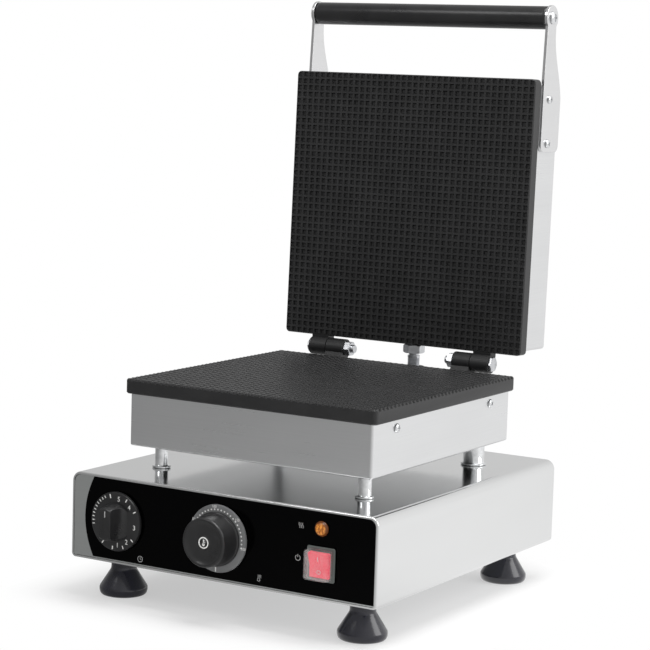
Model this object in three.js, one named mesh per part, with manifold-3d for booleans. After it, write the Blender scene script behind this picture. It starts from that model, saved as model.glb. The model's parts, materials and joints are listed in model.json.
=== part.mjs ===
// A tabletop wafer and waffle iron: a steel base with two knobs, a lamp and a switch, a lower
// baking plate on four short columns, and a hinged upper plate with a cross handle.
// Millimetres. X runs to the right, Y to the back, Z up. The feet stand on Z = 0.
// The model is shown open, with the lid leaning back on its stop bolt.

import * as THREE from 'three';
import { mergeVertices } from 'three/addons/utils/BufferGeometryUtils.js';
import Module from 'manifold-3d';

const wasm = await Module();
wasm.setup();

// ---------------------------------------------------------------- driving dimensions

// Gap left where one piece rests on another, and round a pin or a screw in its hole.
const seat = 0.2;
const fit = 0.3;

// Base housing.
const baseWidth = 320;
const baseDepth = 338;
const baseHeight = 79;
const coverWall = 2.2;
const coverTopRadius = 9;
const coverBottomRadius = 4;
const coverEdgeRound = 2;
const bottomFlange = 14;
const panelThickness = 1.5;
const panelRecess = 0.8;
const overlayThickness = 0.5;
const overlayLeftMargin = 15;
const overlayArcBulge = 9.5;
const overlayBottomMargin = 1.2;

// Feet.
const footHeight = 36.5;
const footRadius = 22;
const footTopRadius = 11.5;
const footNeckZ = 24;
const footInsetX = 33;
const footInsetY = 36;
const footStudRadius = 3;
const footStudLength = 9;

// Columns between the base and the lower casing.
const columnHeight = 21.5;
const columnRadius = 6;
const columnFlangeRadius = 8.5;
const columnFlangeHeight = 2;
const columnStudRadius = 3;
const columnStudLength = 7;
const conduitRadius = 10;
const conduitBore = 8;
const conduitFlangeRadius = 12;
const columnInsetX = 20;
const columnInsetFront = 23;
const columnInsetRear = 30;

// Casings, and the plates that overhang them on all four sides.
const plateOverhangX = 4;
const plateOverhangY = 3;
const plateThickness = 13.5;
const plateCornerRadius = 4;
const plateEdgeRound = 1.2;
const plateGap = 4;
const plateCentreY = 1;
const casingWidth = 256;
const casingDepth = 256;
const casingWall = 1.5;
const casingCornerRadius = 3;
const casingEdgeRound = 1.4;
const lowerCasingHeight = 47.5;
const upperCasingHeight = 46.5;

// Screws that hold the casings to bosses under the plates.
const screwRadius = 2;
const screwHeadRadius = 4;
const screwHeadHeight = 2.4;
const screwLength = 11;
const screwInset = 40;
const screwFromRim = 7.5;
const bossWidth = 14;
const bossDepth = 12;
const bossHeight = 14;
const bossRoot = 2;

// Heating parts behind each plate.
const heaterRadius = 4;
const heaterMargin = 33;
const heaterCornerRadius = 34;
const heaterEndGap = 26;
const heaterSteps = 32;
const clampMargin = 24;
const clampBorder = 30;
const clampCornerRadius = 12;
const clampWindowRadius = 8;
const clampThickness = 1.5;
const lowerWiringRoom = 21.5;
const upperWiringRoom = 20.5;
const insulationMargin = 32;

// Hinges.
const hingeOffset = 11;
const hingeRise = 7;
const openAngle = 92;
const knuckleRadius = 9;
const knuckleLength = 19;
const hingeCentreX = 81;
const knuckleGap = 0.8;
const hingeBoltRadius = 4;
const hingeHeadRadius = 7.5;
const hingeHeadLength = 2.5;
const hingeNutLength = 6.5;
const hingeBoltSpare = 3.5;
const stopBoltSpare = 2;
const webRoot = 2;
const webClearance = 0.6;

// Stop bolt that the open lid leans on.
const stopX = 12;
const stopOffset = 17.2;
const stopShankRadius = 6;
const stopNeckRadius = 4.8;
const stopNeckHeight = 2.5;
const stopHeadRadius = 10.6;
const stopHeadHeight = 8;
const stopHeadBlunting = 1.9;
const stopHeadChamfer = 1.1;
const stopLugRadius = 11;
const stopLugHeight = 8;
const stopLugLift = 1.5;
const stopNutHeight = 6;

// Handle.
const armThickness = 3;
const armReach = 59;
const armOverlap = 68;
const armFrontEdge = 20.5;
const armRearEdge = 58;
const armHeadRadius = 12;
const armFootRadius = 7;
const gripHeight = 31;
const gripRadius = 11;
const gripEdgeRound = 1.5;
const rodRadius = 4;
const endScrewHeadRadius = 6;
const endScrewHeadHeight = 3;
const endScrewRadius = 2.5;
const endScrewLength = 14;
const rodTapDepth = 13;
const armScrewHeight = 33.5;
const armScrewFirst = 18;
const armScrewPitch = 42;
const armScrewLength = 9;

// Controls on the front panel.
const timerFromSide = 52;
const thermostatX = 1;
const lampFromSide = 54.5;
const switchFromSide = 54;
const lampAboveCentre = 23;
const switchBelowCentre = 7.3;
const shaftRadius = 3;
const shaftReach = 15;
const timerDialRadius = 27;
const timerDialThickness = 3.5;
const timerKnobReach = 20;
const timerBarWidth = 13;
const timerBarHeight = 29;
const timerHubRadius = 17;
const timerBodySize = 46;
const timerBodyDepth = 38;
const dialRadius = 30;
const dialThickness = 2.5;
const dialBore = 9;
const knobBaseRadius = 24;
const knobFaceRadius = 21.5;
const knobReach = 25;
const knobDish = 2.4;
const knobEmblemRadius = 5;
const thermostatBodySize = 38;
const thermostatBodyDepth = 30;
const knobClearance = 1;
const lampRadius = 6.6;
const lampReach = 4.4;
const lampBodyRadius = 5.4;
const lampBodyLength = 26;
const lampStemRadius = 3.8;
const lampStemLength = 5;
const bezelWidth = 28;
const bezelHeight = 30;
const bezelThickness = 2.5;
const switchBodyWidth = 24;
const switchBodyHeight = 27.4;
const switchBodyDepth = 26;
const rockerWidth = 19.4;
const rockerHeight = 22;
const rockerTravel = 20;
const rockerWellDepth = 12;
const bootWidth = 23.8;
const bootHeight = 26;
const bootReach = 11;
const bootWall = 1;

// Pieces inside and behind the base.
const capillaryRadius = 1;
const bulbRadius = 3;
const bulbLength = 60;
const terminalWidth = 52;
const terminalDepth = 22;
const terminalHeight = 20;
const terminalX = 40;
const terminalFromRear = 60;
const terminalWellRadius = 3.4;
const terminalWellDepth = 8;
const terminalWellPitch = 11.8;
const glandFromSide = 50;
const glandHeight = 24;
const glandBarrelRadius = 8;
const glandBore = 4.2;
const glandCapRadius = 11;
const glandCapLength = 16;
const glandFlangeRadius = 13;
const glandFlangeThickness = 4;
const glandNutRadius = 13;
const glandNutLength = 5;
const ventCount = 7;
const ventPitch = 9;
const ventWidth = 3;
const ventHeight = 34;

// ---------------------------------------------------------------- derived places

const frontY = -baseDepth / 2;
const rearY = baseDepth / 2;
const baseTop = footHeight + baseHeight;
const controlZ = footHeight + baseHeight / 2;
const bottomPlateZ = footHeight + coverWall + seat;
const panelFrontY = frontY + panelRecess;
const panelBackY = panelFrontY + panelThickness;
const overlayFrontY = panelFrontY - seat - overlayThickness;
const plateWidth = casingWidth + 2 * plateOverhangX;
const plateDepth = casingDepth + 2 * plateOverhangY;
const lowerCasingZ = baseTop + columnHeight;
const lowerPlateZ = lowerCasingZ + lowerCasingHeight + seat;
const lowerPlateTop = lowerPlateZ + plateThickness;
const upperPlateZ = lowerPlateTop + plateGap;
const upperPlateTop = upperPlateZ + plateThickness;
const upperCasingZ = upperPlateTop + seat;
const upperCasingTop = upperCasingZ + upperCasingHeight;
const plateFrontY = plateCentreY - plateDepth / 2;
const plateRearY = plateCentreY + plateDepth / 2;
const hinge = new THREE.Vector3(0, plateRearY + hingeOffset, lowerPlateTop + hingeRise);
const openTurn = THREE.MathUtils.degToRad(openAngle);
const casingHalfX = casingWidth / 2;
const casingFrontY = plateCentreY - casingDepth / 2;
const casingRearY = plateCentreY + casingDepth / 2;
const screwSpacing = casingWidth - 2 * screwInset;
const heaterHalfX = casingHalfX - heaterMargin;
const heaterHalfY = casingDepth / 2 - heaterMargin;
const clampHalfX = casingHalfX - clampMargin;
const clampHalfY = casingDepth / 2 - clampMargin;
const clampWindowX = clampHalfX - clampBorder;
const clampWindowY = clampHalfY - clampBorder;
const lowerInsulationThickness = lowerCasingHeight - lowerWiringRoom;
const upperInsulationThickness = upperCasingHeight - upperWiringRoom;
const columnX = casingHalfX - columnInsetX;
const columnFrontY = casingFrontY + columnInsetFront;
const columnRearY = casingRearY - columnInsetRear;
const armInnerX = casingHalfX + seat;
const grip = { y: plateFrontY - armReach, z: upperPlateZ + gripHeight };
const armEndY = plateFrontY + armOverlap;
const timerX = -baseWidth / 2 + timerFromSide;
const lampX = baseWidth / 2 - lampFromSide;
const switchX = baseWidth / 2 - switchFromSide;
const glandX = baseWidth / 2 - glandFromSide;
const switchZ = controlZ - switchBelowCentre;
const lampZ = controlZ + lampAboveCentre;
const glandZ = footHeight + glandHeight;

const sides = [
  { name: 'left', sign: -1 },
  { name: 'right', sign: 1 },
];

// ---------------------------------------------------------------- materials

const looks = {
  brushedSteel: { color: 0xb9bbbc, roughness: 0.35, metalness: 0.9 },
  chrome: { color: 0xd6d8da, roughness: 0.15, metalness: 1 },
  zinc: { color: 0xa9abad, roughness: 0.4, metalness: 0.9 },
  nonStick: { color: 0x2b2b2d, roughness: 0.55, metalness: 0.2 },
  blackCasting: { color: 0x1c1c1e, roughness: 0.5, metalness: 0.3 },
  glossBlack: { color: 0x060607, roughness: 0.12, metalness: 0 },
  blackPlastic: { color: 0x19191b, roughness: 0.45, metalness: 0 },
  footRubber: { color: 0x15151d, roughness: 0.25, metalness: 0 },
  dialSilver: { color: 0x6a6c6e, roughness: 0.4, metalness: 0.4 },
  amberLens: { color: 0xd9791f, roughness: 0.15, metalness: 0 },
  clearBoot: { color: 0xcfd6d2, roughness: 0.15, metalness: 0 },
  redRocker: { color: 0xe02a3c, roughness: 0.3, metalness: 0 },
  elementSteel: { color: 0x70665c, roughness: 0.5, metalness: 0.8 },
  mineralWool: { color: 0xc9c2ae, roughness: 1, metalness: 0 },
  ceramic: { color: 0xe6e1d3, roughness: 0.6, metalness: 0 },
  copper: { color: 0xb0703c, roughness: 0.35, metalness: 1 },
};

// ---------------------------------------------------------------- solids and outlines

function toSolid(geometry) {
  const bare = geometry.clone();
  bare.deleteAttribute('normal');
  bare.deleteAttribute('uv');
  const merged = mergeVertices(bare);
  const vertProperties = new Float32Array(merged.attributes.position.array);
  const triVerts = new Uint32Array(merged.index.array);
  return new wasm.Manifold(new wasm.Mesh({ numProp: 3, vertProperties, triVerts }));
}

function toGeometry(solid) {
  const mesh = solid.getMesh();
  const geometry = new THREE.BufferGeometry();
  geometry.setAttribute('position', new THREE.BufferAttribute(new Float32Array(mesh.vertProperties), 3));
  geometry.setIndex(new THREE.BufferAttribute(new Uint32Array(mesh.triVerts), 1));
  return geometry;
}

function join(...geometries) {
  const solids = geometries.map(toSolid);
  return toGeometry(solids.reduce((whole, next) => whole.add(next)));
}

function cut(body, ...tools) {
  const solids = tools.map(toSolid);
  return toGeometry(solids.reduce((whole, next) => whole.subtract(next), toSolid(body)));
}

function common(first, second) {
  return toGeometry(toSolid(first).intersect(toSolid(second)));
}

function block([x0, x1], [y0, y1], [z0, z1]) {
  const geometry = new THREE.BoxGeometry(x1 - x0, y1 - y0, z1 - z0);
  return geometry.translate((x0 + x1) / 2, (y0 + y1) / 2, (z0 + z1) / 2);
}

// Facets in half of a round corner, and in half of a long or a freely curved edge.
const arcSteps = 2;
const longArcSteps = 7;

// An outline point (u, v) and the way it is extruded, for each of the three planes.
const planes = {
  floor: new THREE.Matrix4(),
  front: new THREE.Matrix4().makeBasis(
    new THREE.Vector3(1, 0, 0), new THREE.Vector3(0, 0, 1), new THREE.Vector3(0, -1, 0)),
  side: new THREE.Matrix4().makeBasis(
    new THREE.Vector3(0, 1, 0), new THREE.Vector3(0, 0, 1), new THREE.Vector3(1, 0, 0)),
};

// Extrudes an outline from one coordinate to another: along Z on the floor plane, along Y on the
// front plane (outline in X and Z), along X on the side plane (outline in Y and Z).
function prism(outline, plane, from, to, round = 0, steps = 1, arcs = arcSteps) {
  const depth = to - from;
  const geometry = new THREE.ExtrudeGeometry(outline, {
    depth: depth - 2 * round,
    bevelEnabled: round > 0,
    bevelThickness: round,
    bevelSize: round,
    bevelOffset: -round,
    bevelSegments: steps,
    curveSegments: arcs,
  });
  geometry.translate(0, 0, plane === 'front' ? round - to : from + round);
  return geometry.applyMatrix4(planes[plane]);
}

// A full circle in four arcs, so that it gets as many facets as four round corners.
function circle(u, v, radius) {
  const shape = new THREE.Shape();
  for (let quarter = 0; quarter < 4; quarter += 1) {
    shape.absarc(u, v, radius, quarter * Math.PI / 2, (quarter + 1) * Math.PI / 2);
  }
  return shape;
}

// The closed outline of a thin tube with the given number of sides.
function tubeSection(radius, sidesCount) {
  const points = [];
  for (let index = 0; index < sidesCount; index += 1) {
    const angle = 2 * Math.PI * index / sidesCount;
    points.push(new THREE.Vector2(radius * Math.cos(angle), radius * Math.sin(angle)));
  }
  return new THREE.Shape(points);
}

// A rectangle with round corners, radii in the order bottom left, bottom right, top right, top left.
function roundRect(u0, u1, v0, v1, radii) {
  const [bl, br, tr, tl] = Array.isArray(radii) ? radii : [radii, radii, radii, radii];
  const shape = new THREE.Shape();
  shape.moveTo(u0 + bl, v0);
  shape.lineTo(u1 - br, v0);
  shape.absarc(u1 - br, v0 + br, br, -Math.PI / 2, 0);
  shape.lineTo(u1, v1 - tr);
  shape.absarc(u1 - tr, v1 - tr, tr, 0, Math.PI / 2);
  shape.lineTo(u0 + tl, v1);
  shape.absarc(u0 + tl, v1 - tl, tl, Math.PI / 2, Math.PI);
  shape.lineTo(u0, v0 + bl);
  shape.absarc(u0 + bl, v0 + bl, bl, Math.PI, 1.5 * Math.PI);
  return shape;
}

// A round bar along one axis, centred on two coordinates of the plane across it.
function bar(plane, u, v, radius, from, to, sidesCount = 16) {
  const geometry = new THREE.CylinderGeometry(radius, radius, to - from, sidesCount);
  geometry.rotateX(Math.PI / 2);
  if (plane === 'side') geometry.rotateY(Math.PI / 2);
  if (plane === 'front') geometry.rotateX(Math.PI / 2);
  const middle = (from + to) / 2;
  if (plane === 'floor') return geometry.translate(u, v, middle);
  if (plane === 'front') return geometry.translate(u, middle, v);
  return geometry.translate(middle, u, v);
}

function hexagon(plane, u, v, radius, from, to) {
  return bar(plane, u, v, radius, from, to, 6);
}

// A turned piece round the vertical axis at (x, y), from a profile of [radius, height] pairs.
function turned(profile, x, y, segments = 18) {
  const points = profile.map(([radius, height]) => new THREE.Vector2(radius, height));
  const geometry = new THREE.LatheGeometry(points, segments);
  return geometry.rotateX(Math.PI / 2).translate(x, y, 0);
}

// A turned piece round an axis along Y. The profile's second number is how far in front of frontY.
function turnedFront(profile, x, z, segments = 24) {
  const points = profile.map(([radius, reach]) => new THREE.Vector2(radius, reach));
  const geometry = new THREE.LatheGeometry(points, segments);
  return geometry.rotateX(Math.PI).translate(x, frontY, z);
}

// ---------------------------------------------------------------- base housing

function baseOutline(inset) {
  const halfWidth = baseWidth / 2 - inset;
  const low = coverBottomRadius - inset;
  const high = coverTopRadius - inset;
  return roundRect(-halfWidth, halfWidth, footHeight + inset, baseTop - inset, [low, low, high, high]);
}

const columnPlaces = [
  { name: 'front_left', x: -columnX, y: columnFrontY },
  { name: 'front_right', x: columnX, y: columnFrontY },
  { name: 'rear_left', x: -columnX, y: columnRearY },
];
const conduitPlace = { x: columnX, y: columnRearY };

const footPlaces = [
  { name: 'front_left', x: -1, y: -1 },
  { name: 'front_right', x: 1, y: -1 },
  { name: 'rear_left', x: -1, y: 1 },
  { name: 'rear_right', x: 1, y: 1 },
].map(({ name, x, y }) => ({
  name,
  x: x * (baseWidth / 2 - footInsetX),
  y: y * (baseDepth / 2 - footInsetY),
}));

function baseCover() {
  const shell = prism(baseOutline(0), 'front', frontY, rearY, coverEdgeRound, 2);
  const inside = prism(baseOutline(coverWall), 'front', frontY - 5, rearY + 5);
  const windowX = baseWidth / 2 - bottomFlange;
  const windowY = baseDepth / 2 - bottomFlange;
  const window = block([-windowX, windowX], [-windowY, windowY], [footHeight - 5, footHeight + 5]);
  const studHoles = columnPlaces.map(({ x, y }) =>
    bar('floor', x, y, columnStudRadius + fit, baseTop - 5, baseTop + 5));
  const wireHole = bar('floor', conduitPlace.x, conduitPlace.y, conduitBore, baseTop - 5, baseTop + 5);
  return cut(shell, inside, window, wireHole, ...studHoles);
}

// The holes that the controls need through the front panel and its overlay.
function controlHoles() {
  const [near, far] = [frontY - 5, panelBackY + 5];
  const halfWidth = switchBodyWidth / 2 + fit;
  const halfHeight = switchBodyHeight / 2 + fit;
  const switchWide = [switchX - halfWidth, switchX + halfWidth];
  const switchTall = [switchZ - halfHeight, switchZ + halfHeight];
  return [
    bar('front', timerX, controlZ, shaftRadius + 2 * fit, near, far),
    bar('front', thermostatX, controlZ, shaftRadius + 2 * fit, near, far),
    bar('front', lampX, lampZ, lampBodyRadius + fit, near, far),
    block(switchWide, [near, far], switchTall),
  ];
}

function frontPanel() {
  return cut(prism(baseOutline(coverWall + seat), 'front', panelFrontY, panelBackY), ...controlHoles());
}

// The overlay runs from a bulging left edge to the right side of the panel.
function overlayOutline() {
  const inset = coverWall + seat;
  const low = footHeight + inset + overlayBottomMargin;
  const high = baseTop - inset;
  const right = baseWidth / 2 - inset;
  const left = -baseWidth / 2 + overlayLeftMargin + overlayArcBulge;
  const radius = coverTopRadius - inset;
  const shape = new THREE.Shape();
  shape.moveTo(left, low);
  shape.lineTo(right, low);
  shape.lineTo(right, high - radius);
  shape.absarc(right - radius, high - radius, radius, 0, Math.PI / 2);
  shape.lineTo(left, high);
  shape.quadraticCurveTo(left - 2 * overlayArcBulge, (low + high) / 2, left, low);
  return shape;
}

function controlOverlay() {
  const back = overlayFrontY + overlayThickness;
  const sheet = prism(overlayOutline(), 'front', overlayFrontY, back, 0, 1, 2 * longArcSteps);
  return cut(sheet, ...controlHoles());
}

function rearPanel() {
  const back = rearY - panelRecess;
  const sheet = prism(baseOutline(coverWall + seat), 'front', back - panelThickness, back);
  const glandHole = bar('front', glandX, glandZ, glandBarrelRadius + fit, back - 5, back + 5);
  const vents = [];
  for (let index = 0; index < ventCount; index += 1) {
    const x = (index - (ventCount - 1) / 2) * ventPitch;
    const z = [controlZ - ventHeight / 2, controlZ + ventHeight / 2];
    vents.push(block([x - ventWidth / 2, x + ventWidth / 2], [back - 5, back + 5], z));
  }
  return cut(sheet, glandHole, ...vents);
}

function bottomPlate() {
  const halfX = baseWidth / 2 - coverWall - coverBottomRadius;
  const front = panelBackY + seat;
  const back = rearY - panelRecess - panelThickness - seat;
  const sheet = block([-halfX, halfX], [front, back], [bottomPlateZ, bottomPlateZ + panelThickness]);
  const holes = footPlaces.map(({ x, y }) =>
    bar('floor', x, y, footStudRadius + fit, bottomPlateZ - 5, bottomPlateZ + 5));
  return cut(sheet, ...holes);
}

// A conical foot with a round rim and a straight neck. Its stud goes up through the bottom plate.
function foot({ x, y }) {
  const top = bottomPlateZ - seat;
  const bend = new THREE.QuadraticBezierCurve(
    new THREE.Vector2(footTopRadius + 0.9, footNeckZ - 1.4),
    new THREE.Vector2(footTopRadius, footNeckZ),
    new THREE.Vector2(footTopRadius, footNeckZ + 2.5));
  const neck = bend.getPoints(3).map((point) => [point.x, point.y]);
  const low = [[0, 0], [footRadius - 3, 0], [footRadius - 1, 1], [footRadius - 0.2, 3.4]];
  const rim = [...low, [footRadius, 6], [footRadius - 0.4, 8]];
  const stud = [[footStudRadius, top], [footStudRadius, top + footStudLength], [0, top + footStudLength]];
  return turned([...rim, ...neck, [footTopRadius, top], ...stud], x, y);
}

// ---------------------------------------------------------------- columns

function column({ x, y }) {
  const low = baseTop + seat;
  const high = lowerCasingZ - seat;
  return turned([
    [0, low - columnStudLength], [columnStudRadius, low - columnStudLength], [columnStudRadius, low],
    [columnFlangeRadius, low], [columnFlangeRadius, low + columnFlangeHeight],
    [columnRadius, low + columnFlangeHeight], [columnRadius, high], [columnStudRadius, high],
    [columnStudRadius, high + columnStudLength], [0, high + columnStudLength],
  ], x, y);
}

// The wider rear right column is a tube, and the wires rise through it.
function wiringConduit() {
  const low = baseTop + seat;
  const high = lowerCasingZ - seat;
  return turned([
    [conduitBore, low], [conduitFlangeRadius, low], [conduitFlangeRadius, low + columnFlangeHeight],
    [conduitRadius, low + columnFlangeHeight], [conduitRadius, high], [conduitBore, high],
    [conduitBore, low],
  ], conduitPlace.x, conduitPlace.y);
}

// ---------------------------------------------------------------- casings and plates

// A sheet tray from z = low to z = high. Its floor is at the low end, or at the high end.
function casing(low, high, floorAtTop) {
  const outline = roundRect(-casingHalfX, casingHalfX, casingFrontY, casingRearY, casingCornerRadius);
  const spare = 10;
  const [start, end] = floorAtTop ? [low - spare, high] : [low, high + spare];
  const outer = prism(outline, 'floor', start, end, casingEdgeRound);
  const inner = roundRect(
    -casingHalfX + casingWall, casingHalfX - casingWall, casingFrontY + casingWall,
    casingRearY - casingWall, casingCornerRadius - casingWall);
  const hollowEnds = floorAtTop ? [start - 1, high - casingWall] : [low + casingWall, end + 1];
  const reach = casingHalfX + 5;
  const keep = block([-reach, reach], [casingFrontY - 5, casingRearY + 5], [low, high]);
  return common(cut(outer, prism(inner, 'floor', ...hollowEnds)), keep);
}

const lowerScrewZ = lowerCasingZ + lowerCasingHeight - screwFromRim;
const upperScrewZ = upperCasingZ + screwFromRim;
const screwRowY = [plateCentreY - screwSpacing / 2, plateCentreY + screwSpacing / 2];
const armScrewY = [plateFrontY + armScrewFirst, plateFrontY + armScrewFirst + armScrewPitch];
const armScrewZ = upperPlateZ + armScrewHeight;

// A bar across the whole object, which drills the same hole through both of its sides.
function crossHole(y, z, radius) {
  const reach = plateWidth;
  return bar('side', y, z, radius, -reach, reach, 8);
}

function lowerCasing() {
  const sideHoles = screwRowY.map((y) => crossHole(y, lowerScrewZ, screwRadius + fit));
  const studHoles = columnPlaces.map(({ x, y }) =>
    bar('floor', x, y, columnStudRadius + fit, lowerCasingZ - 5, lowerCasingZ + 5));
  const { x, y } = conduitPlace;
  const wireHole = bar('floor', x, y, conduitBore, lowerCasingZ - 5, lowerCasingZ + 5);
  const tray = casing(lowerCasingZ, lowerCasingZ + lowerCasingHeight, false);
  return cut(tray, wireHole, ...sideHoles, ...studHoles);
}

function upperCasing() {
  const armHoles = armScrewY.map((y) => crossHole(y, armScrewZ, screwRadius + fit));
  const frontHoles = sides.map(({ sign }) => bar(
    'front', sign * screwSpacing / 2, upperScrewZ, screwRadius + fit, casingFrontY - 5, casingFrontY + 5, 8));
  return cut(casing(upperCasingZ, upperCasingTop, true), ...armHoles, ...frontHoles);
}

// The flat casting of a plate, between two heights.
function plateSlab(low, high) {
  const outline = roundRect(-plateWidth / 2, plateWidth / 2, plateFrontY, plateRearY, plateCornerRadius);
  return prism(outline, 'floor', low, high, plateEdgeRound);
}

// One knuckle with the web that ties it to its plate. The web's points are [y, z] from the hinge axis.
function knuckle(sign, innerX, web) {
  const [x0, x1] = [innerX, innerX + knuckleLength].map((x) => sign * x).sort((a, b) => a - b);
  const shape = new THREE.Shape(web.map(([y, z]) => new THREE.Vector2(hinge.y + y, hinge.z + z)));
  const barrel = bar('side', hinge.y, hinge.z, knuckleRadius, x0, x1, 20);
  return join(prism(shape, 'side', x0, x1), barrel);
}

function hingeBore() {
  return bar('side', hinge.y, hinge.z, hingeBoltRadius + fit, -plateWidth, plateWidth, 16);
}

const webEdge = -hingeOffset - webRoot;
const stopY = plateRearY + stopOffset;

function stopLug() {
  const low = lowerPlateZ + stopLugLift;
  const x = [stopX - stopLugRadius, stopX + stopLugRadius];
  const arm = block(x, [plateRearY - webRoot, stopY], [low, low + stopLugHeight]);
  return join(arm, bar('floor', stopX, stopY, stopLugRadius, low, low + stopLugHeight));
}

function sideBosses(low, high) {
  const outer = casingHalfX - casingWall - seat;
  const bosses = [];
  for (const { sign } of sides) {
    for (const y of screwRowY) {
      const x = [sign * outer, sign * (outer - bossDepth)].sort((a, b) => a - b);
      bosses.push(block(x, [y - bossWidth / 2, y + bossWidth / 2], [low, high]));
    }
  }
  return bosses;
}

function lowerPlate() {
  const innerX = hingeCentreX - knuckleGap / 2 - knuckleLength;
  const below = lowerPlateZ - hinge.z + webRoot;
  const above = -hingeRise - webClearance;
  const web = [
    [webEdge, below], [-2, below], [knuckleRadius - 1, -3], [0, 0], [-knuckleRadius + 1, -3],
    [-hingeOffset, above], [webEdge, above],
  ];
  const lugs = sides.map(({ sign }) => knuckle(sign, innerX, web));
  const bosses = sideBosses(lowerPlateZ - bossHeight, lowerPlateZ + bossRoot);
  const whole = join(plateSlab(lowerPlateZ, lowerPlateTop), stopLug(), ...lugs, ...bosses);
  const screwHoles = screwRowY.map((y) => crossHole(y, lowerScrewZ, screwRadius + fit));
  const stopHole = bar('floor', stopX, stopY, stopShankRadius + fit, lowerPlateZ - 5, lowerPlateTop + 5);
  return cut(whole, hingeBore(), stopHole, ...screwHoles);
}

function upperPlate() {
  const innerX = hingeCentreX + knuckleGap / 2;
  const below = upperPlateZ - hinge.z + webClearance;
  const above = upperPlateTop - hinge.z - webRoot;
  const web = [
    [webEdge, below], [-hingeOffset, below], [-knuckleRadius + 1, -2], [0, 0], [2, knuckleRadius - 1],
    [-hingeOffset, above], [webEdge, above],
  ];
  const lugs = sides.map(({ sign }) => knuckle(sign, innerX, web));
  const outer = casingFrontY + casingWall + seat;
  const bosses = sides.map(({ sign }) => block(
    [sign * screwSpacing / 2 - bossWidth / 2, sign * screwSpacing / 2 + bossWidth / 2],
    [outer, outer + bossDepth], [upperPlateTop - bossRoot, upperPlateTop + bossHeight]));
  const whole = join(plateSlab(upperPlateZ, upperPlateTop), ...lugs, ...bosses);
  const screwHoles = sides.map(({ sign }) => bar(
    'front', sign * screwSpacing / 2, upperScrewZ, screwRadius + fit, outer - 5, outer + bossDepth + 5, 8));
  return cut(whole, hingeBore(), ...screwHoles);
}

// ---------------------------------------------------------------- heating parts

// The element is a bent tube with its two ends side by side at the back.
function heater(z) {
  const [spanX, spanY] = [heaterHalfX, heaterHalfY];
  const r = heaterCornerRadius;
  const half = heaterEndGap / 2;
  const path = new THREE.CurvePath();
  const point = (x, y) => new THREE.Vector3(x, plateCentreY + y, z);
  const corners = [[-spanX, spanY], [-spanX, -spanY], [spanX, -spanY], [spanX, spanY]];
  let last = point(-half, spanY);
  const stops = [[-half, spanY], ...corners, [half, spanY]];
  for (let index = 1; index < stops.length - 1; index += 1) {
    const corner = new THREE.Vector2(...stops[index]);
    const before = new THREE.Vector2(...stops[index - 1]).sub(corner).setLength(r).add(corner);
    const after = new THREE.Vector2(...stops[index + 1]).sub(corner).setLength(r).add(corner);
    const bendStart = point(before.x, before.y);
    const bendEnd = point(after.x, after.y);
    path.add(new THREE.LineCurve3(last, bendStart));
    path.add(new THREE.QuadraticBezierCurve3(bendStart, point(corner.x, corner.y), bendEnd));
    last = bendEnd;
  }
  path.add(new THREE.LineCurve3(last, point(half, spanY)));
  const section = tubeSection(heaterRadius, 6);
  return new THREE.ExtrudeGeometry(section, { extrudePath: path, steps: heaterSteps, bevelEnabled: false });
}

function heaterClamp(low) {
  const outline = roundRect(
    -clampHalfX, clampHalfX, plateCentreY - clampHalfY, plateCentreY + clampHalfY, clampCornerRadius);
  const [windowX, windowY] = [clampWindowX, clampWindowY];
  outline.holes.push(
    roundRect(-windowX, windowX, plateCentreY - windowY, plateCentreY + windowY, clampWindowRadius));
  return prism(outline, 'floor', low, low + clampThickness);
}

function insulationSlab(low, thickness) {
  const halfX = casingHalfX - insulationMargin;
  const y = [casingFrontY + insulationMargin, casingRearY - insulationMargin];
  return block([-halfX, halfX], y, [low, low + thickness]);
}

const lowerHeaterZ = lowerPlateZ - fit - heaterRadius;
const upperHeaterZ = upperPlateTop + fit + heaterRadius;
const lowerClampZ = lowerHeaterZ - heaterRadius - fit - clampThickness;
const upperClampZ = upperHeaterZ + heaterRadius + fit;
const lowerInsulationZ = lowerCasingZ + casingWall + seat;
const upperInsulationZ = upperCasingTop - casingWall - fit - upperInsulationThickness;

// ---------------------------------------------------------------- fasteners

// A pan-head screw along X through a side wall. outerX is the face that its head lies on.
function sideScrew(sign, outerX, y, z, length, headRadius) {
  const under = outerX + seat;
  const head = bar('side', y, z, headRadius, under, under + screwHeadHeight, 12);
  const shank = bar('side', y, z, screwRadius, under - length, under + 0.5, 8);
  const screw = join(head, shank);
  return sign > 0 ? screw : screw.rotateZ(Math.PI).translate(0, 2 * y, 0);
}

// The same screw through the front wall of the upper casing.
function frontScrew(x) {
  const under = casingFrontY - seat;
  return join(
    bar('front', x, upperScrewZ, screwHeadRadius, under - screwHeadHeight, under, 12),
    bar('front', x, upperScrewZ, screwRadius, under - 0.5, under + screwLength, 8));
}

const hingeOuterX = hingeCentreX + knuckleGap / 2 + knuckleLength;
const hingeInnerX = hingeCentreX - knuckleGap / 2 - knuckleLength;
const hingeBoltEnd = hingeInnerX - seat - hingeNutLength - hingeBoltSpare;

function hingeBolt(sign) {
  const under = hingeOuterX + seat;
  const head = hexagon('side', hinge.y, hinge.z, hingeHeadRadius, under, under + hingeHeadLength);
  const shank = bar('side', hinge.y, hinge.z, hingeBoltRadius, hingeBoltEnd, under + 0.5, 20);
  const bolt = join(head, shank);
  return sign > 0 ? bolt : bolt.rotateZ(Math.PI).translate(0, 2 * hinge.y, 0);
}

function hingeNut(sign) {
  const ends = [hingeInnerX - seat - hingeNutLength, hingeInnerX - seat].map((x) => sign * x);
  const [x0, x1] = ends.sort((a, b) => a - b);
  const hole = bar('side', hinge.y, hinge.z, hingeBoltRadius + seat, x0 - 1, x1 + 1, 20);
  return cut(hexagon('side', hinge.y, hinge.z, hingeHeadRadius, x0, x1), hole);
}

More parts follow.
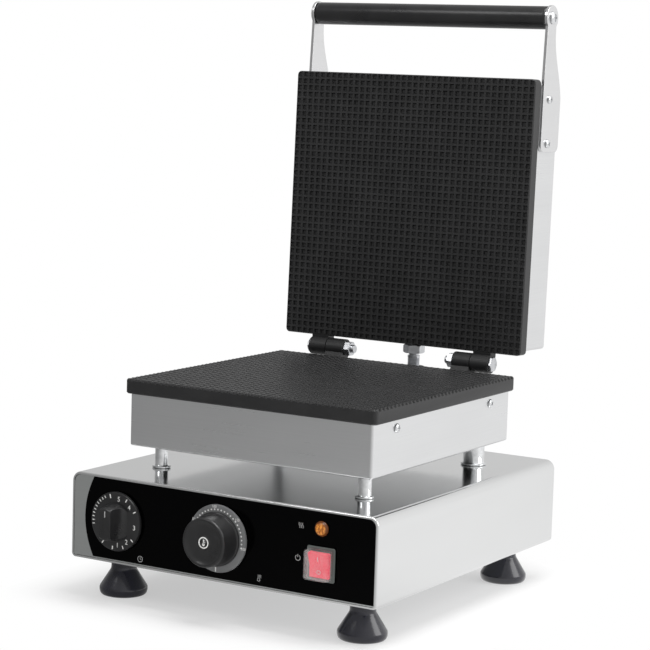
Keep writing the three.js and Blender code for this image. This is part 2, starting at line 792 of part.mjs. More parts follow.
// Height of the open lid's lower edge over the stop bolt: the rear edge of the plate, turned up.
const openEdgeZ = hinge.z + hingeOffset * Math.sin(openTurn)
  + (upperPlateTop - hinge.z) * Math.cos(openTurn);

// The head's top corners are turned off, so that the plate's edge clears them as the lid swings.
function stopHead(low, top) {
  const reach = stopHeadRadius + 1;
  const blank = turned([
    [0, low], [reach, low], [reach, top - stopHeadChamfer], [stopHeadRadius, top - stopHeadChamfer],
    [stopHeadRadius - stopHeadBlunting, top], [0, top],
  ], stopX, stopY, 24);
  return common(hexagon('floor', stopX, stopY, stopHeadRadius, low, top), blank);
}

function stopBolt() {
  const top = openEdgeZ - fit;
  const headLow = top - stopHeadHeight;
  const shankLow = lowerPlateZ - stopNutHeight - stopBoltSpare;
  return join(
    stopHead(headLow, top),
    bar('floor', stopX, stopY, stopNeckRadius, headLow - stopNeckHeight - 0.5, headLow + 0.5, 16),
    bar('floor', stopX, stopY, stopShankRadius, shankLow, headLow - stopNeckHeight, 16));
}

function stopNut() {
  const high = lowerPlateZ + stopLugLift - seat;
  const low = high - stopNutHeight;
  const hole = bar('floor', stopX, stopY, stopShankRadius + seat, low - 1, high + 1, 16);
  return cut(hexagon('floor', stopX, stopY, stopHeadRadius, low, high), hole);
}

// ---------------------------------------------------------------- handle

// A flat arm, seen from the side: a round head on the grip, a narrow neck, and a wide foot on
// the casing. Heights are measured from the upper plate's baking face.
function armOutline() {
  const front = upperPlateZ + armFrontEdge;
  const rear = upperPlateZ + armRearEdge;
  const neckY = grip.y + armHeadRadius * 0.8;
  const wideY = plateFrontY + armScrewFirst - 2;
  const neckHalf = armHeadRadius * 0.75;
  const shape = new THREE.Shape();
  shape.moveTo(armEndY, front + armFootRadius);
  shape.absarc(armEndY - armFootRadius, front + armFootRadius, armFootRadius, 0, -Math.PI / 2, true);
  shape.lineTo(plateFrontY, front);
  shape.lineTo(neckY, grip.z - neckHalf);
  const sweep = Math.asin(neckHalf / armHeadRadius);
  shape.absarc(grip.y, grip.z, armHeadRadius, -sweep, sweep, true);
  shape.bezierCurveTo(
    neckY + 25, grip.z + neckHalf - 2, wideY - 28, rear - 6, wideY, rear);
  shape.lineTo(armEndY - armFootRadius, rear);
  shape.absarc(armEndY - armFootRadius, rear - armFootRadius, armFootRadius, Math.PI / 2, 0, true);
  return shape;
}

function handleArm(sign) {
  const [x0, x1] = [armInnerX, armInnerX + armThickness].map((x) => sign * x).sort((a, b) => a - b);
  const holes = armScrewY.map((y) => crossHole(y, armScrewZ, screwRadius + fit));
  const endHole = bar('side', grip.y, grip.z, endScrewRadius + fit, x0 - 5, x1 + 5, 16);
  return cut(prism(armOutline(), 'side', x0, x1, 0, 1, longArcSteps), endHole, ...holes);
}

function handGrip() {
  const end = armInnerX - seat;
  const bore = bar('side', grip.y, grip.z, rodRadius + fit, -end - 5, end + 5, 20);
  return cut(prism(circle(grip.y, grip.z, gripRadius), 'side', -end, end, gripEdgeRound), bore);
}

function gripRod() {
  const end = armInnerX - seat;
  const taps = [[-end - 5, -end + rodTapDepth], [end - rodTapDepth, end + 5]].map(([from, to]) =>
    bar('side', grip.y, grip.z, endScrewRadius + seat, from, to, 12));
  return cut(bar('side', grip.y, grip.z, rodRadius, -end, end, 16), ...taps);
}

function gripScrew(sign) {
  const under = armInnerX + armThickness + seat;
  const head = bar('side', grip.y, grip.z, endScrewHeadRadius, under, under + endScrewHeadHeight, 24);
  const shank = bar('side', grip.y, grip.z, endScrewRadius, under - endScrewLength, under + 0.5, 16);
  const screw = join(head, shank);
  return sign > 0 ? screw : screw.rotateZ(Math.PI).translate(0, 2 * grip.y, 0);
}

// ---------------------------------------------------------------- controls

// A boxed movement behind the front panel, with the shaft that its knob is pushed on.
function shaftedBody(x, size, depth) {
  const half = size / 2;
  const near = panelBackY + seat;
  const box = block([x - half, x + half], [near, near + depth], [controlZ - half, controlZ + half]);
  return join(box, bar('front', x, controlZ, shaftRadius, frontY - shaftReach, near + 1, 20));
}

function shaftSocket(x) {
  return bar('front', x, controlZ, shaftRadius + fit, frontY - shaftReach - fit, frontY + 5, 20);
}

// The timer knob is a round dial with a finger bar, which flares into the dial at both sides.
function timerKnob() {
  const back = knobClearance;
  const dialFront = back + timerDialThickness;
  const dial = turnedFront([
    [0, back], [timerDialRadius, back], [timerDialRadius, dialFront - 1.2],
    [timerDialRadius - 1.2, dialFront], [0, dialFront],
  ], timerX, controlZ, 32);
  const hub = turnedFront([
    [0, dialFront - 1], [timerHubRadius, dialFront - 1], [timerHubRadius, dialFront],
    [timerBarHeight / 2, timerKnobReach - 1], [timerBarHeight / 2 - 1, timerKnobReach], [0, timerKnobReach],
  ], timerX, controlZ, 24);
  const halfBar = timerBarWidth / 2;
  const [near, far] = [frontY - timerKnobReach - 1, frontY - dialFront + 1.2];
  const scoop = new THREE.Shape();
  scoop.moveTo(timerX - halfBar, near);
  scoop.lineTo(timerX + halfBar, near);
  scoop.quadraticCurveTo(timerX + halfBar, far, timerX + timerHubRadius + 1, far);
  scoop.lineTo(timerX - timerHubRadius - 1, far);
  scoop.quadraticCurveTo(timerX - halfBar, far, timerX - halfBar, near);
  const half = timerHubRadius + 2;
  const flare = prism(scoop, 'floor', controlZ - half, controlZ + half);
  return cut(join(dial, common(hub, flare)), shaftSocket(timerX));
}

function thermostatDial() {
  const back = knobClearance;
  const front = back + dialThickness;
  return turnedFront([
    [dialBore, back], [dialRadius, back], [dialRadius, front - 1], [dialRadius - 1, front],
    [dialBore, front], [dialBore, back],
  ], thermostatX, controlZ, 32);
}

// A round knob with a dished face and a raised centre.
function thermostatKnob() {
  const seatAt = knobClearance + dialThickness + seat;
  const rim = knobFaceRadius - 2;
  const knob = turnedFront([
    [0, knobClearance], [dialBore - seat, knobClearance], [dialBore - seat, seatAt], [knobBaseRadius, seatAt],
    [knobBaseRadius, seatAt + 3], [knobFaceRadius, knobReach - 1], [knobFaceRadius - 1, knobReach],
    [rim, knobReach], [rim - 5, knobReach - knobDish], [knobEmblemRadius + 1, knobReach - knobDish],
    [knobEmblemRadius, knobReach - knobDish + 1.2], [0, knobReach - knobDish + 1.2],
  ], thermostatX, controlZ, 28);
  return cut(knob, shaftSocket(thermostatX));
}

function lampHousing() {
  const near = frontY + seat;
  const tube = bar('front', lampX, lampZ, lampBodyRadius, near, near + lampBodyLength, 24);
  const socket = bar('front', lampX, lampZ, lampStemRadius + seat, near - 1, near + lampStemLength + 1, 20);
  return cut(tube, socket);
}

function lampLens() {
  const profile = [[0, -lampStemLength], [lampStemRadius, -lampStemLength], [lampStemRadius, seat]];
  const dome = new THREE.EllipseCurve(0, seat + 1, lampRadius, lampReach - 1, 0, Math.PI / 2);
  profile.push([lampRadius, seat], ...dome.getPoints(4).map((point) => [Math.max(point.x, 0), point.y]));
  profile[profile.length - 1][0] = 0;
  return turnedFront(profile, lampX, lampZ, 16);
}

const bezelBackY = overlayFrontY - seat;
const bezelFrontY = bezelBackY - bezelThickness;

function switchHousing() {
  const [halfW, halfH] = [bezelWidth / 2, bezelHeight / 2];
  const rim = roundRect(switchX - halfW, switchX + halfW, switchZ - halfH, switchZ + halfH, 2);
  const bezel = prism(rim, 'front', bezelFrontY, bezelBackY, 0.8);
  const body = block(
    [switchX - switchBodyWidth / 2, switchX + switchBodyWidth / 2],
    [bezelBackY - 1, bezelBackY + switchBodyDepth],
    [switchZ - switchBodyHeight / 2, switchZ + switchBodyHeight / 2]);
  const wellX = rockerWidth / 2 + fit;
  const wellZ = rockerHeight / 2 + 4 * fit;
  const well = block(
    [switchX - wellX, switchX + wellX], [bezelFrontY - 1, bezelFrontY + rockerWellDepth],
    [switchZ - wellZ, switchZ + wellZ]);
  return cut(join(bezel, body), well);
}

function switchBoot() {
  const [halfW, halfH] = [bootWidth / 2, bootHeight / 2];
  const back = bezelFrontY - seat;
  const front = frontY - bootReach;
  const outline = roundRect(switchX - halfW, switchX + halfW, switchZ - halfH, switchZ + halfH, 2.5);
  const outer = prism(outline, 'front', front, back, 0.8);
  const inner = block(
    [switchX - halfW + bootWall, switchX + halfW - bootWall], [front + bootWall, back + 1],
    [switchZ - halfH + bootWall, switchZ + halfH - bootWall]);
  return cut(outer, inner);
}

// The rocker turns about an axis along X through its own origin. Outline in Y and Z, front at -Y.
function rocker() {
  const half = rockerHeight / 2;
  const shape = new THREE.Shape([
    [-4.5, half], [-3, 0], [-4.5, -half], [0.5, -half], [4.5, -half + 4], [4.5, half - 4], [0.5, half],
  ].map(([y, z]) => new THREE.Vector2(y, z)));
  return prism(shape, 'side', -rockerWidth / 2, rockerWidth / 2);
}

// ---------------------------------------------------------------- pieces inside the base

// The thermostat's capillary rises through the conduit to a bulb under the lower plate.
function capillary() {
  const bulbZ = lowerPlateZ - fit - bulbRadius;
  const bulbX = bulbLength / 2;
  const runZ = (lowerInsulationZ + lowerInsulationThickness + lowerClampZ) / 2;
  const startY = panelBackY + seat + thermostatBodyDepth;
  const { x, y } = conduitPlace;
  const stops = [
    [thermostatX, startY + seat, controlZ], [thermostatX, startY + 30, controlZ],
    [x / 2, (startY + y) / 2, controlZ - 8], [x - 8, y - 26, controlZ],
    [x, y, baseTop - 6], [x, y, lowerCasingZ + 8], [x, y, runZ - 10], [x - 6, y - 5, runZ - 2],
    [x - 18, y - 15, runZ], [clampWindowX + 4, y - 40, runZ], [clampWindowX - 14, y - 52, runZ + 1],
    [bulbX + 12, plateCentreY, bulbZ], [bulbX - 2, plateCentreY, bulbZ],
  ].map((stop) => new THREE.Vector3(...stop));
  const path = new THREE.CatmullRomCurve3(stops, false, 'centripetal');
  const section = tubeSection(capillaryRadius, 6);
  const tube = new THREE.ExtrudeGeometry(section, { extrudePath: path, steps: 44, bevelEnabled: false });
  return join(tube, bar('side', plateCentreY, bulbZ, bulbRadius, -bulbX, bulbX, 16));
}

function terminalBlock() {
  const low = bottomPlateZ + panelThickness + seat;
  const y = rearY - terminalFromRear;
  const box = block(
    [terminalX - terminalWidth / 2, terminalX + terminalWidth / 2], [y, y + terminalDepth],
    [low, low + terminalHeight]);
  const top = low + terminalHeight;
  const wells = [-1.5, -0.5, 0.5, 1.5].map((step) => bar(
    'floor', terminalX + step * terminalWellPitch, y + terminalDepth / 2, terminalWellRadius,
    top - terminalWellDepth, top + 1));
  return cut(box, ...wells);
}

function cableGland() {
  const wall = rearY - panelRecess + seat;
  const tip = wall + glandFlangeThickness + glandCapLength;
  const inner = wall - panelThickness - seat - glandNutLength - 4;
  const barrel = bar('front', glandX, glandZ, glandBarrelRadius, inner, wall + 1, 20);
  const flange = hexagon('front', glandX, glandZ, glandFlangeRadius, wall, wall + glandFlangeThickness);
  const capLow = wall + glandFlangeThickness - 0.5;
  const cap = prism(circle(glandX, glandZ, glandCapRadius), 'front', capLow, tip, 2);
  const bore = bar('front', glandX, glandZ, glandBore, inner - 1, tip + 1, 12);
  return cut(join(barrel, flange, cap), bore);
}

function glandNut() {
  const high = rearY - panelRecess - panelThickness - seat;
  const low = high - glandNutLength;
  const hole = bar('front', glandX, glandZ, glandBarrelRadius + seat, low - 1, high + 1, 20);
  return cut(hexagon('front', glandX, glandZ, glandNutRadius, low, high), hole);
}

// ---------------------------------------------------------------- assembly

function piece(parent, name, look, geometry) {
  const mesh = new THREE.Mesh(geometry, new THREE.MeshStandardMaterial(looks[look]));
  mesh.name = name;
  parent.add(mesh);
  return mesh;
}

const stand = new THREE.Group();

piece(stand, 'base_cover', 'brushedSteel', baseCover());
piece(stand, 'front_panel', 'brushedSteel', frontPanel());
piece(stand, 'control_overlay', 'glossBlack', controlOverlay());
piece(stand, 'rear_panel', 'brushedSteel', rearPanel());
piece(stand, 'bottom_plate', 'zinc', bottomPlate());
for (const place of footPlaces) piece(stand, `foot_${place.name}`, 'footRubber', foot(place));
for (const place of columnPlaces) piece(stand, `column_${place.name}`, 'chrome', column(place));
piece(stand, 'wiring_conduit', 'chrome', wiringConduit());

piece(stand, 'lower_casing', 'brushedSteel', lowerCasing());
piece(stand, 'lower_plate', 'nonStick', lowerPlate());
piece(stand, 'lower_heater', 'elementSteel', heater(lowerHeaterZ));
piece(stand, 'lower_heater_clamp', 'zinc', heaterClamp(lowerClampZ));
piece(stand, 'lower_insulation', 'mineralWool', insulationSlab(lowerInsulationZ, lowerInsulationThickness));
for (const { name, sign } of sides) {
  screwRowY.forEach((y, index) => {
    const row = index === 0 ? 'front' : 'rear';
    const screw = sideScrew(sign, casingHalfX, y, lowerScrewZ, screwLength, screwHeadRadius);
    piece(stand, `casing_screw_${row}_${name}`, 'chrome', screw);
  });
  piece(stand, `hinge_bolt_${name}`, 'zinc', hingeBolt(sign));
  piece(stand, `hinge_nut_${name}`, 'zinc', hingeNut(sign));
}
piece(stand, 'stop_bolt', 'zinc', stopBolt());
piece(stand, 'stop_locknut', 'zinc', stopNut());

piece(stand, 'timer_body', 'blackPlastic', shaftedBody(timerX, timerBodySize, timerBodyDepth));
piece(stand, 'timer_knob', 'blackPlastic', timerKnob());
piece(stand, 'thermostat_body', 'zinc', shaftedBody(thermostatX, thermostatBodySize, thermostatBodyDepth));
piece(stand, 'thermostat_dial', 'dialSilver', thermostatDial());
piece(stand, 'thermostat_knob', 'blackPlastic', thermostatKnob());
piece(stand, 'capillary_and_bulb', 'copper', capillary());
piece(stand, 'lamp_housing', 'blackPlastic', lampHousing());
piece(stand, 'lamp_lens', 'amberLens', lampLens());
piece(stand, 'switch_housing', 'blackPlastic', switchHousing());
piece(stand, 'switch_boot', 'clearBoot', switchBoot());
const rockerMesh = piece(stand, 'switch_rocker', 'redRocker', rocker());
rockerMesh.position.set(switchX, bezelFrontY + 1, switchZ);
rockerMesh.rotation.x = THREE.MathUtils.degToRad(rockerTravel / 2);
piece(stand, 'terminal_block', 'ceramic', terminalBlock());
piece(stand, 'cable_gland', 'blackPlastic', cableGland());
piece(stand, 'cable_gland_nut', 'blackPlastic', glandNut());

// The lid is built closed, and then turned open about the hinge axis.
const lid = new THREE.Group();
lid.position.set(-hinge.x, -hinge.y, -hinge.z);
const lidTurn = new THREE.Group();
lidTurn.add(lid);
lidTurn.position.copy(hinge);
lidTurn.rotation.x = -openTurn;

piece(lid, 'upper_plate', 'nonStick', upperPlate());
piece(lid, 'upper_casing', 'brushedSteel', upperCasing());
piece(lid, 'upper_heater', 'elementSteel', heater(upperHeaterZ));
piece(lid, 'upper_heater_clamp', 'zinc', heaterClamp(upperClampZ));
piece(lid, 'upper_insulation', 'mineralWool', insulationSlab(upperInsulationZ, upperInsulationThickness));
piece(lid, 'handle_grip', 'blackPlastic', handGrip());
piece(lid, 'handle_rod', 'zinc', gripRod());
for (const { name, sign } of sides) {
  piece(lid, `handle_arm_${name}`, 'brushedSteel', handleArm(sign));
  piece(lid, `handle_end_screw_${name}`, 'chrome', gripScrew(sign));
  piece(lid, `upper_casing_screw_${name}`, 'chrome', frontScrew(sign * screwSpacing / 2));
  armScrewY.forEach((y, index) => {
    const outerX = armInnerX + armThickness;
    const screw = sideScrew(sign, outerX, y, armScrewZ, armScrewLength, screwHeadRadius);
    piece(lid, `arm_screw_${index === 0 ? 'upper' : 'lower'}_${name}`, 'chrome', screw);
  });
}

// The origin lies on the floor, midway between the knob's face and the back of the open lid.
const model = new THREE.Group();
model.add(stand, lidTurn);
model.updateMatrixWorld(true);
const box = new THREE.Box3().setFromObject(model, true);
const group = new THREE.Group();
group.add(model);
model.position.y = -(box.min.y + box.max.y) / 2;

export default group;
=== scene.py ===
# %% [markdown]
# # A wafer iron in steel, black enamel and chrome
#
# This notebook dresses the engineering model of a tabletop wafer iron. The frame holds every part
# at its real size, in metres, with X to the right, Y to the back and Z up. Each cell adds one
# group of pieces or one finish. Nothing in the frame is moved: a part is either given a finish, or
# hidden behind a smoother piece of the same size that rides on the same body.

# %% Load the frame
import json
import math

import bmesh
import bpy
from mathutils import Matrix, Vector


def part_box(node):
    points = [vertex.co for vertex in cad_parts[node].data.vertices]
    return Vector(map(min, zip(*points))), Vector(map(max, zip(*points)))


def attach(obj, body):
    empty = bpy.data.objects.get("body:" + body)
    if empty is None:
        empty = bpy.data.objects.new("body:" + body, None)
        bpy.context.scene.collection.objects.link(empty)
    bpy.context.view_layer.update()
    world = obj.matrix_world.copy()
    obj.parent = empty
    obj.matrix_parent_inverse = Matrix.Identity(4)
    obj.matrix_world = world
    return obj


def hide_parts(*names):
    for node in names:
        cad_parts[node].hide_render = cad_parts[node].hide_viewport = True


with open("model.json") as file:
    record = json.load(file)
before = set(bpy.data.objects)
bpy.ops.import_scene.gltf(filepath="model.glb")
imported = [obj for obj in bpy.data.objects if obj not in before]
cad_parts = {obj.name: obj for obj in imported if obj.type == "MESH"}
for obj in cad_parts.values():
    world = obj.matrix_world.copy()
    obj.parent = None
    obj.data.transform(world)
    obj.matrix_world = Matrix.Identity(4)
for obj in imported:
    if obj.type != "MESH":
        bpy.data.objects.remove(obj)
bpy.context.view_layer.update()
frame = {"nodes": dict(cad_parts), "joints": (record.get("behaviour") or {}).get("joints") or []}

mm = 0.001


def add_object(name, data):
    made = bpy.data.objects.new(name, data)
    bpy.context.scene.collection.objects.link(made)
    return made


# %% [markdown]
# ## The lid's two states
#
# The frame stands open. The lid's pieces are easier to draw closed, when its plate lies flat, so
# one matrix turns what is drawn closed to the open place, about the hinge that the frame gives.

# %% The turn of the lid
joints = {joint["name"]: joint for joint in frame["joints"]}
lid_joint = joints["lid_hinge"]
hinge = Vector(lid_joint["pos_m"])
open_turn = -math.radians(lid_joint["range_deg"][1])
to_open = (Matrix.Translation(hinge) @ Matrix.Rotation(open_turn, 4, "X")
           @ Matrix.Translation(-hinge))
to_closed = to_open.inverted()


def closed_box(node):
    """The box that a lid part fills when the lid is down."""
    points = [to_closed @ vertex.co for vertex in frame["nodes"][node].data.vertices]
    low = Vector(min(point[axis] for point in points) for axis in range(3))
    high = Vector(max(point[axis] for point in points) for axis in range(3))
    return low, high


print("hinge", [round(value, 4) for value in hinge], "turn", round(math.degrees(open_turn), 1))

# %% [markdown]
# ## Camera
#
# A product shot is taken from far away with a long lens, so that parallel edges stay nearly
# parallel. The camera stands to the right of the controls and a little above the plates. Its
# place is given as an angle round the object, a height angle and a distance from the point that
# it looks at.

# %% Camera
camera_azimuth = math.radians(31.24)
camera_elevation = math.radians(7.12)
camera_roll = math.radians(1.73)
camera_distance = 2.045
camera_lens = 122.1
aim = Vector((-0.0037, -0.0023, 0.2464))


def add_camera():
    data = bpy.data.cameras.new("camera")
    data.lens = camera_lens
    data.sensor_width = 36
    camera = add_object("camera", data)
    flat = math.cos(camera_elevation)
    back = Vector((math.sin(camera_azimuth) * flat, -math.cos(camera_azimuth) * flat,
                   math.sin(camera_elevation)))
    camera.location = aim + back * camera_distance
    facing = (-back).to_track_quat("-Z", "Y").to_matrix().to_4x4()
    camera.matrix_world = (Matrix.Translation(camera.location) @ facing
                           @ Matrix.Rotation(camera_roll, 4, "Z"))
    bpy.context.scene.camera = camera
    return camera


camera = add_camera()
bpy.context.scene.view_settings.view_transform = "Standard"
print("camera", [round(value, 3) for value in camera.location])

# %% [markdown]
# ## Writing shader maths as plain sums
#
# A finish is a small network of nodes. Wrapping a socket in a class with the usual operators lets
# the maths read as it would on paper: `1 - mask * 0.5` adds the Math nodes by itself. All other
# nodes come from one method, which takes the node's type, its settings and its inputs. The world has
# such a network too, but no Principled shader, so a finish is a network with one more step.

# %% Sockets
class Wire:
    """One output socket. Sums and products with it add Math nodes."""

    def __init__(self, finish, socket):
        self.finish = finish
        self.socket = socket

    def combine(self, operation, first, second):
        return self.finish.node("ShaderNodeMath", {"operation": operation}, {0: first, 1: second})

    def __add__(self, other):
        return self.combine("ADD", self, other)

    def __sub__(self, other):
        return self.combine("SUBTRACT", self, other)

    def __rsub__(self, other):
        return self.combine("SUBTRACT", other, self)

    def __mul__(self, other):
        return self.combine("MULTIPLY", self, other)

    def __truediv__(self, other):
        return self.combine("DIVIDE", self, other)

    def __gt__(self, other):
        return self.combine("GREATER_THAN", self, other)

    __radd__ = __add__
    __rmul__ = __mul__


print("socket class", Wire.__name__)

# %% Networks
black = (0, 0, 0)
white = (1, 1, 1)


class Network:
    """A node tree, and the methods that add nodes to it."""

    def __init__(self, tree):
        self.tree = tree

    def feed(self, node, values):
        for key, value in values.items():
            if isinstance(value, Wire):
                self.tree.links.new(value.socket, node.inputs[key])
            else:
                node.inputs[key].default_value = value

    def node(self, kind, settings=None, inputs=None, output=0):
        node = self.tree.nodes.new(kind)
        for key, value in (settings or {}).items():
            if key == "stops":
                self.set_stops(node.color_ramp, value)
            else:
                setattr(node, key, value)
        self.feed(node, inputs or {})
        return Wire(self, node.outputs[output])

    def vector(self, operation, *operands, output="Vector"):
        inputs = dict(enumerate(operands))
        return self.node("ShaderNodeVectorMath", {"operation": operation}, inputs, output)

    def part(self, direction, axis):
        return self.node("ShaderNodeSeparateXYZ", {}, {0: direction}, axis)

    def ray(self, kind):
        return self.node("ShaderNodeLightPath", output=kind)

    def set_stops(self, ramp, stops):
        while len(ramp.elements) < len(stops):
            ramp.elements.new(1)
        for element, (place, value) in zip(ramp.elements, stops):
            element.position = place
            element.color = (value, value, value, 1)

    def place(self, stretch=(1, 1, 1)):
        """The piece's own coordinates, in metres, stretched along each axis."""
        return self.vector("MULTIPLY", self.node("ShaderNodeTexCoord", output="Object"), stretch)

    def noise(self, stretch, detail=2.0):
        inputs = {"Vector": self.place(stretch), "Scale": 1.0, "Detail": detail}
        return self.node("ShaderNodeTexNoise", {}, inputs)

    def ramp(self, value, *stops):
        return self.node("ShaderNodeValToRGB", {"stops": stops}, {"Fac": value})

    def tint(self, amount, first, second):
        """A colour between two colours, each of them a triple or a wire."""
        first, second = (end if isinstance(end, Wire) else (*end, 1) for end in (first, second))
        inputs = {0: amount, 6: first, 7: second}
        return self.node("ShaderNodeMix", {"data_type": "RGBA"}, inputs, 2)

    def mix_shaders(self, amount, first, second):
        return self.node("ShaderNodeMixShader", {}, {0: amount, 1: first, 2: second})

    def bump(self, height, distance, strength=1.0):
        inputs = {"Height": height, "Distance": distance, "Strength": strength}
        return self.node("ShaderNodeBump", {}, inputs)


print("network methods", len([name for name in vars(Network) if not name.startswith("_")]))

# %% Finishes
class Finish(Network):
    """A material with one Principled shader. Its constants are set on the shader's own sockets."""

    def __init__(self, name, constants=None):
        self.material = bpy.data.materials.new(name)
        self.material.use_nodes = True
        super().__init__(self.material.node_tree)
        self.shader = self.tree.nodes["Principled BSDF"]
        self.feed(self.shader, constants or {})

    def use(self, **values):
        names = {"colour": "Base Color", "roughness": "Roughness", "normal": "Normal",
                 "alpha": "Alpha", "glow": "Emission Color"}
        self.feed(self.shader, {names[key]: value for key, value in values.items()})
        return self.material


print("finish class", Finish.__name__)

# %% [markdown]
# ## Floor, backdrop and light
#
# The set is white, as in a product shot. The floor is a plain pale sheet that keeps the soft shadow
# under the object and turns white a little way outside the footprint of the base. The world is white
# to the camera only. To mirrors it is a grey that falls from the right and the back, where the window
# is, to the left in front, and mirrors see the same grey in the floor: polished steel is drawn by
# that difference. Three large lamps are the soft boxes of the studio.

# %% World
studio_middle = 0.64
studio_to_right = 0.31
studio_to_back = 0.19


def studio_grey(network, direction):
    """How bright the studio is along a level direction: darkest to the left in front."""
    across, depth = network.part(direction, "X"), network.part(direction, "Y")
    level = across * studio_to_right + depth * studio_to_back + studio_middle
    return network.tint(level, black, white)


def add_world():
    world = bpy.data.worlds.new("studio")
    world.use_nodes = True
    bpy.context.scene.world = world
    sky = Network(world.node_tree)
    grey = studio_grey(sky, sky.node("ShaderNodeTexCoord", output="Generated"))
    colour = sky.tint(sky.ray("Is Camera Ray"), grey, white)
    sky.feed(world.node_tree.nodes["Background"], {"Color": colour})


add_world()
print("world ready")

# %% Floor
floor_reach = 6.0
shadow_start = 0.02
shadow_end = 0.07
shadow_depth = 0.52
footprint = (0.16, 0.17, 0.0)
floor_tone = (0.86, 0.86, 0.86)


def floor_finish():
    finish = Finish("floor_white", {"Base Color": (*floor_tone, 1), "Roughness": 0.9,
                                    "Specular IOR Level": 0.0})
    place = finish.place()
    past = finish.vector("SUBTRACT", finish.vector("ABSOLUTE", place), footprint)
    distance = finish.vector("LENGTH", finish.vector("MAXIMUM", past, (0, 0, 0)), output="Value")
    far = finish.ramp(distance, (shadow_start, 0.0), (shadow_end, 1.0))
    share = finish.ray("Is Camera Ray") * (far * shadow_depth + (1 - shadow_depth))
    pure = finish.node("ShaderNodeEmission", {}, {"Color": (*white, 1)})
    lit = finish.mix_shaders(share, Wire(finish, finish.shader.outputs[0]), pure)
    outward = finish.vector("NORMALIZE", place)
    grey = finish.node("ShaderNodeEmission", {}, {"Color": studio_grey(finish, outward)})
    surface = finish.mix_shaders(finish.ray("Is Glossy Ray"), lit, grey)
    finish.feed(finish.tree.nodes["Material Output"], {"Surface": surface})
    return finish.material


def add_floor():
    mesh = bpy.data.meshes.new("floor")
    corners = [(-floor_reach, -floor_reach, 0), (floor_reach, -floor_reach, 0),
               (floor_reach, floor_reach, 0), (-floor_reach, floor_reach, 0)]
    mesh.from_pydata(corners, [], [(0, 1, 2, 3)])
    mesh.materials.append(floor_finish())
    add_object("floor", mesh)


add_floor()
print("floor ready")

# %% Soft boxes
lit_point = Vector((0, 0, 0.25))


def add_soft_box(name, place, size, power):
    data = bpy.data.lights.new(name, "AREA")
    data.shape = "RECTANGLE"
    data.size, data.size_y = size
    data.energy = power
    lamp = add_object(name, data)
    facing = (lit_point - Vector(place)).to_track_quat("-Z", "Y").to_matrix().to_4x4()
    lamp.matrix_world = Matrix.Translation(place) @ facing


add_soft_box("top_box", (0.45, -0.1, 1.9), (1.1, 1.1), 21)
add_soft_box("right_box", (1.9, 0.6, 1.2), (1.2, 1.4), 15)
add_soft_box("left_box", (-1.0, -1.8, 2.1), (0.8, 0.8), 10)

# %% [markdown]
# ## Making meshes
#
# Most pieces here are turned on a lathe, cut from sheet or cast. A turned piece is a profile of
# radius and height carried round an axis. A folded or cast piece is a loft: a row of outlines with
# the same number of points, joined by a skin. Sharp machined edges get a small bevel, because a
# real edge is never perfectly sharp, and the thin line of light along it shows what it is made of.

# %% Outlines
def rounded(u0, u1, v0, v1, radius, steps=8):
    """A rectangle with round corners as a list of (u, v), anticlockwise. radius is one or four."""
    radii = radius if isinstance(radius, (list, tuple)) else [radius] * 4
    centres = [(u0, v0, 1, 1, math.pi), (u1, v0, -1, 1, 1.5 * math.pi),
               (u1, v1, -1, -1, 0.0), (u0, v1, 1, -1, 0.5 * math.pi)]
    points = []
    for (u, v, inward_u, inward_v, start), size in zip(centres, radii):
        for step in range(steps + 1):
            angle = start + step / steps * math.pi / 2
            points.append((u + size * (inward_u + math.cos(angle)),
                           v + size * (inward_v + math.sin(angle))))
    return points


def round_edge(radius, steps=5):
    """(inset, depth) pairs of a quarter round, from the end face to the side."""
    pairs = []
    for step in range(steps + 1):
        angle = step / steps * math.pi / 2
        pairs.append((radius * (1 - math.sin(angle)), radius * (1 - math.cos(angle))))
    return pairs


def bezier(start, pull, end, steps):
    """Points on a curve that leaves one point, is pulled towards a second and ends in a third."""
    points = []
    for step in range(steps + 1):
        t = step / steps
        points.append(tuple((1 - t) ** 2 * a + 2 * t * (1 - t) * b + t ** 2 * c
                            for a, b, c in zip(start, pull, end)))
    return points


print("corner points", len(rounded(0, 1, 0, 1, 0.1)))

# %% Lofts
def new_object(name, points, faces, turn=None):
    """A closed mesh with merged points and faces that point out."""
    work = bmesh.new()
    corners = [work.verts.new(point) for point in points]
    for face in faces:
        work.faces.new([corners[index] for index in face])
    bmesh.ops.remove_doubles(work, verts=work.verts, dist=1e-7)
    bmesh.ops.recalc_face_normals(work, faces=work.faces)
    if turn is not None:
        work.transform(turn)
    mesh = bpy.data.meshes.new(name)
    work.to_mesh(mesh)
    work.free()
    return add_object(name, mesh)


def loft(name, rings, hollow=False, turn=None):
    """A skin over outlines with the same number of points. A hollow one joins its last ring to its
    first, and any other is closed by a face at both ends."""
    count = len(rings[0])
    points = [point for ring in rings for point in ring]
    faces = []
    for row in range(len(rings) if hollow else len(rings) - 1):
        low, high = row * count, (row + 1) % len(rings) * count
        for index in range(count):
            after = (index + 1) % count
            faces.append((low + index, low + after, high + after, high + index))
    if not hollow:
        faces.append(tuple(range(count)))
        faces.append(tuple(range(len(points) - count, len(points))))
    return new_object(name, points, faces, turn)


def block(name, low, high, turn=None):
    outline = [(low[0], low[1]), (high[0], low[1]), (high[0], high[1]), (low[0], high[1])]
    rings = [[(x, y, z) for x, y in outline] for z in (low[2], high[2])]
    return loft(name, rings, turn=turn)


print("lofts ready")

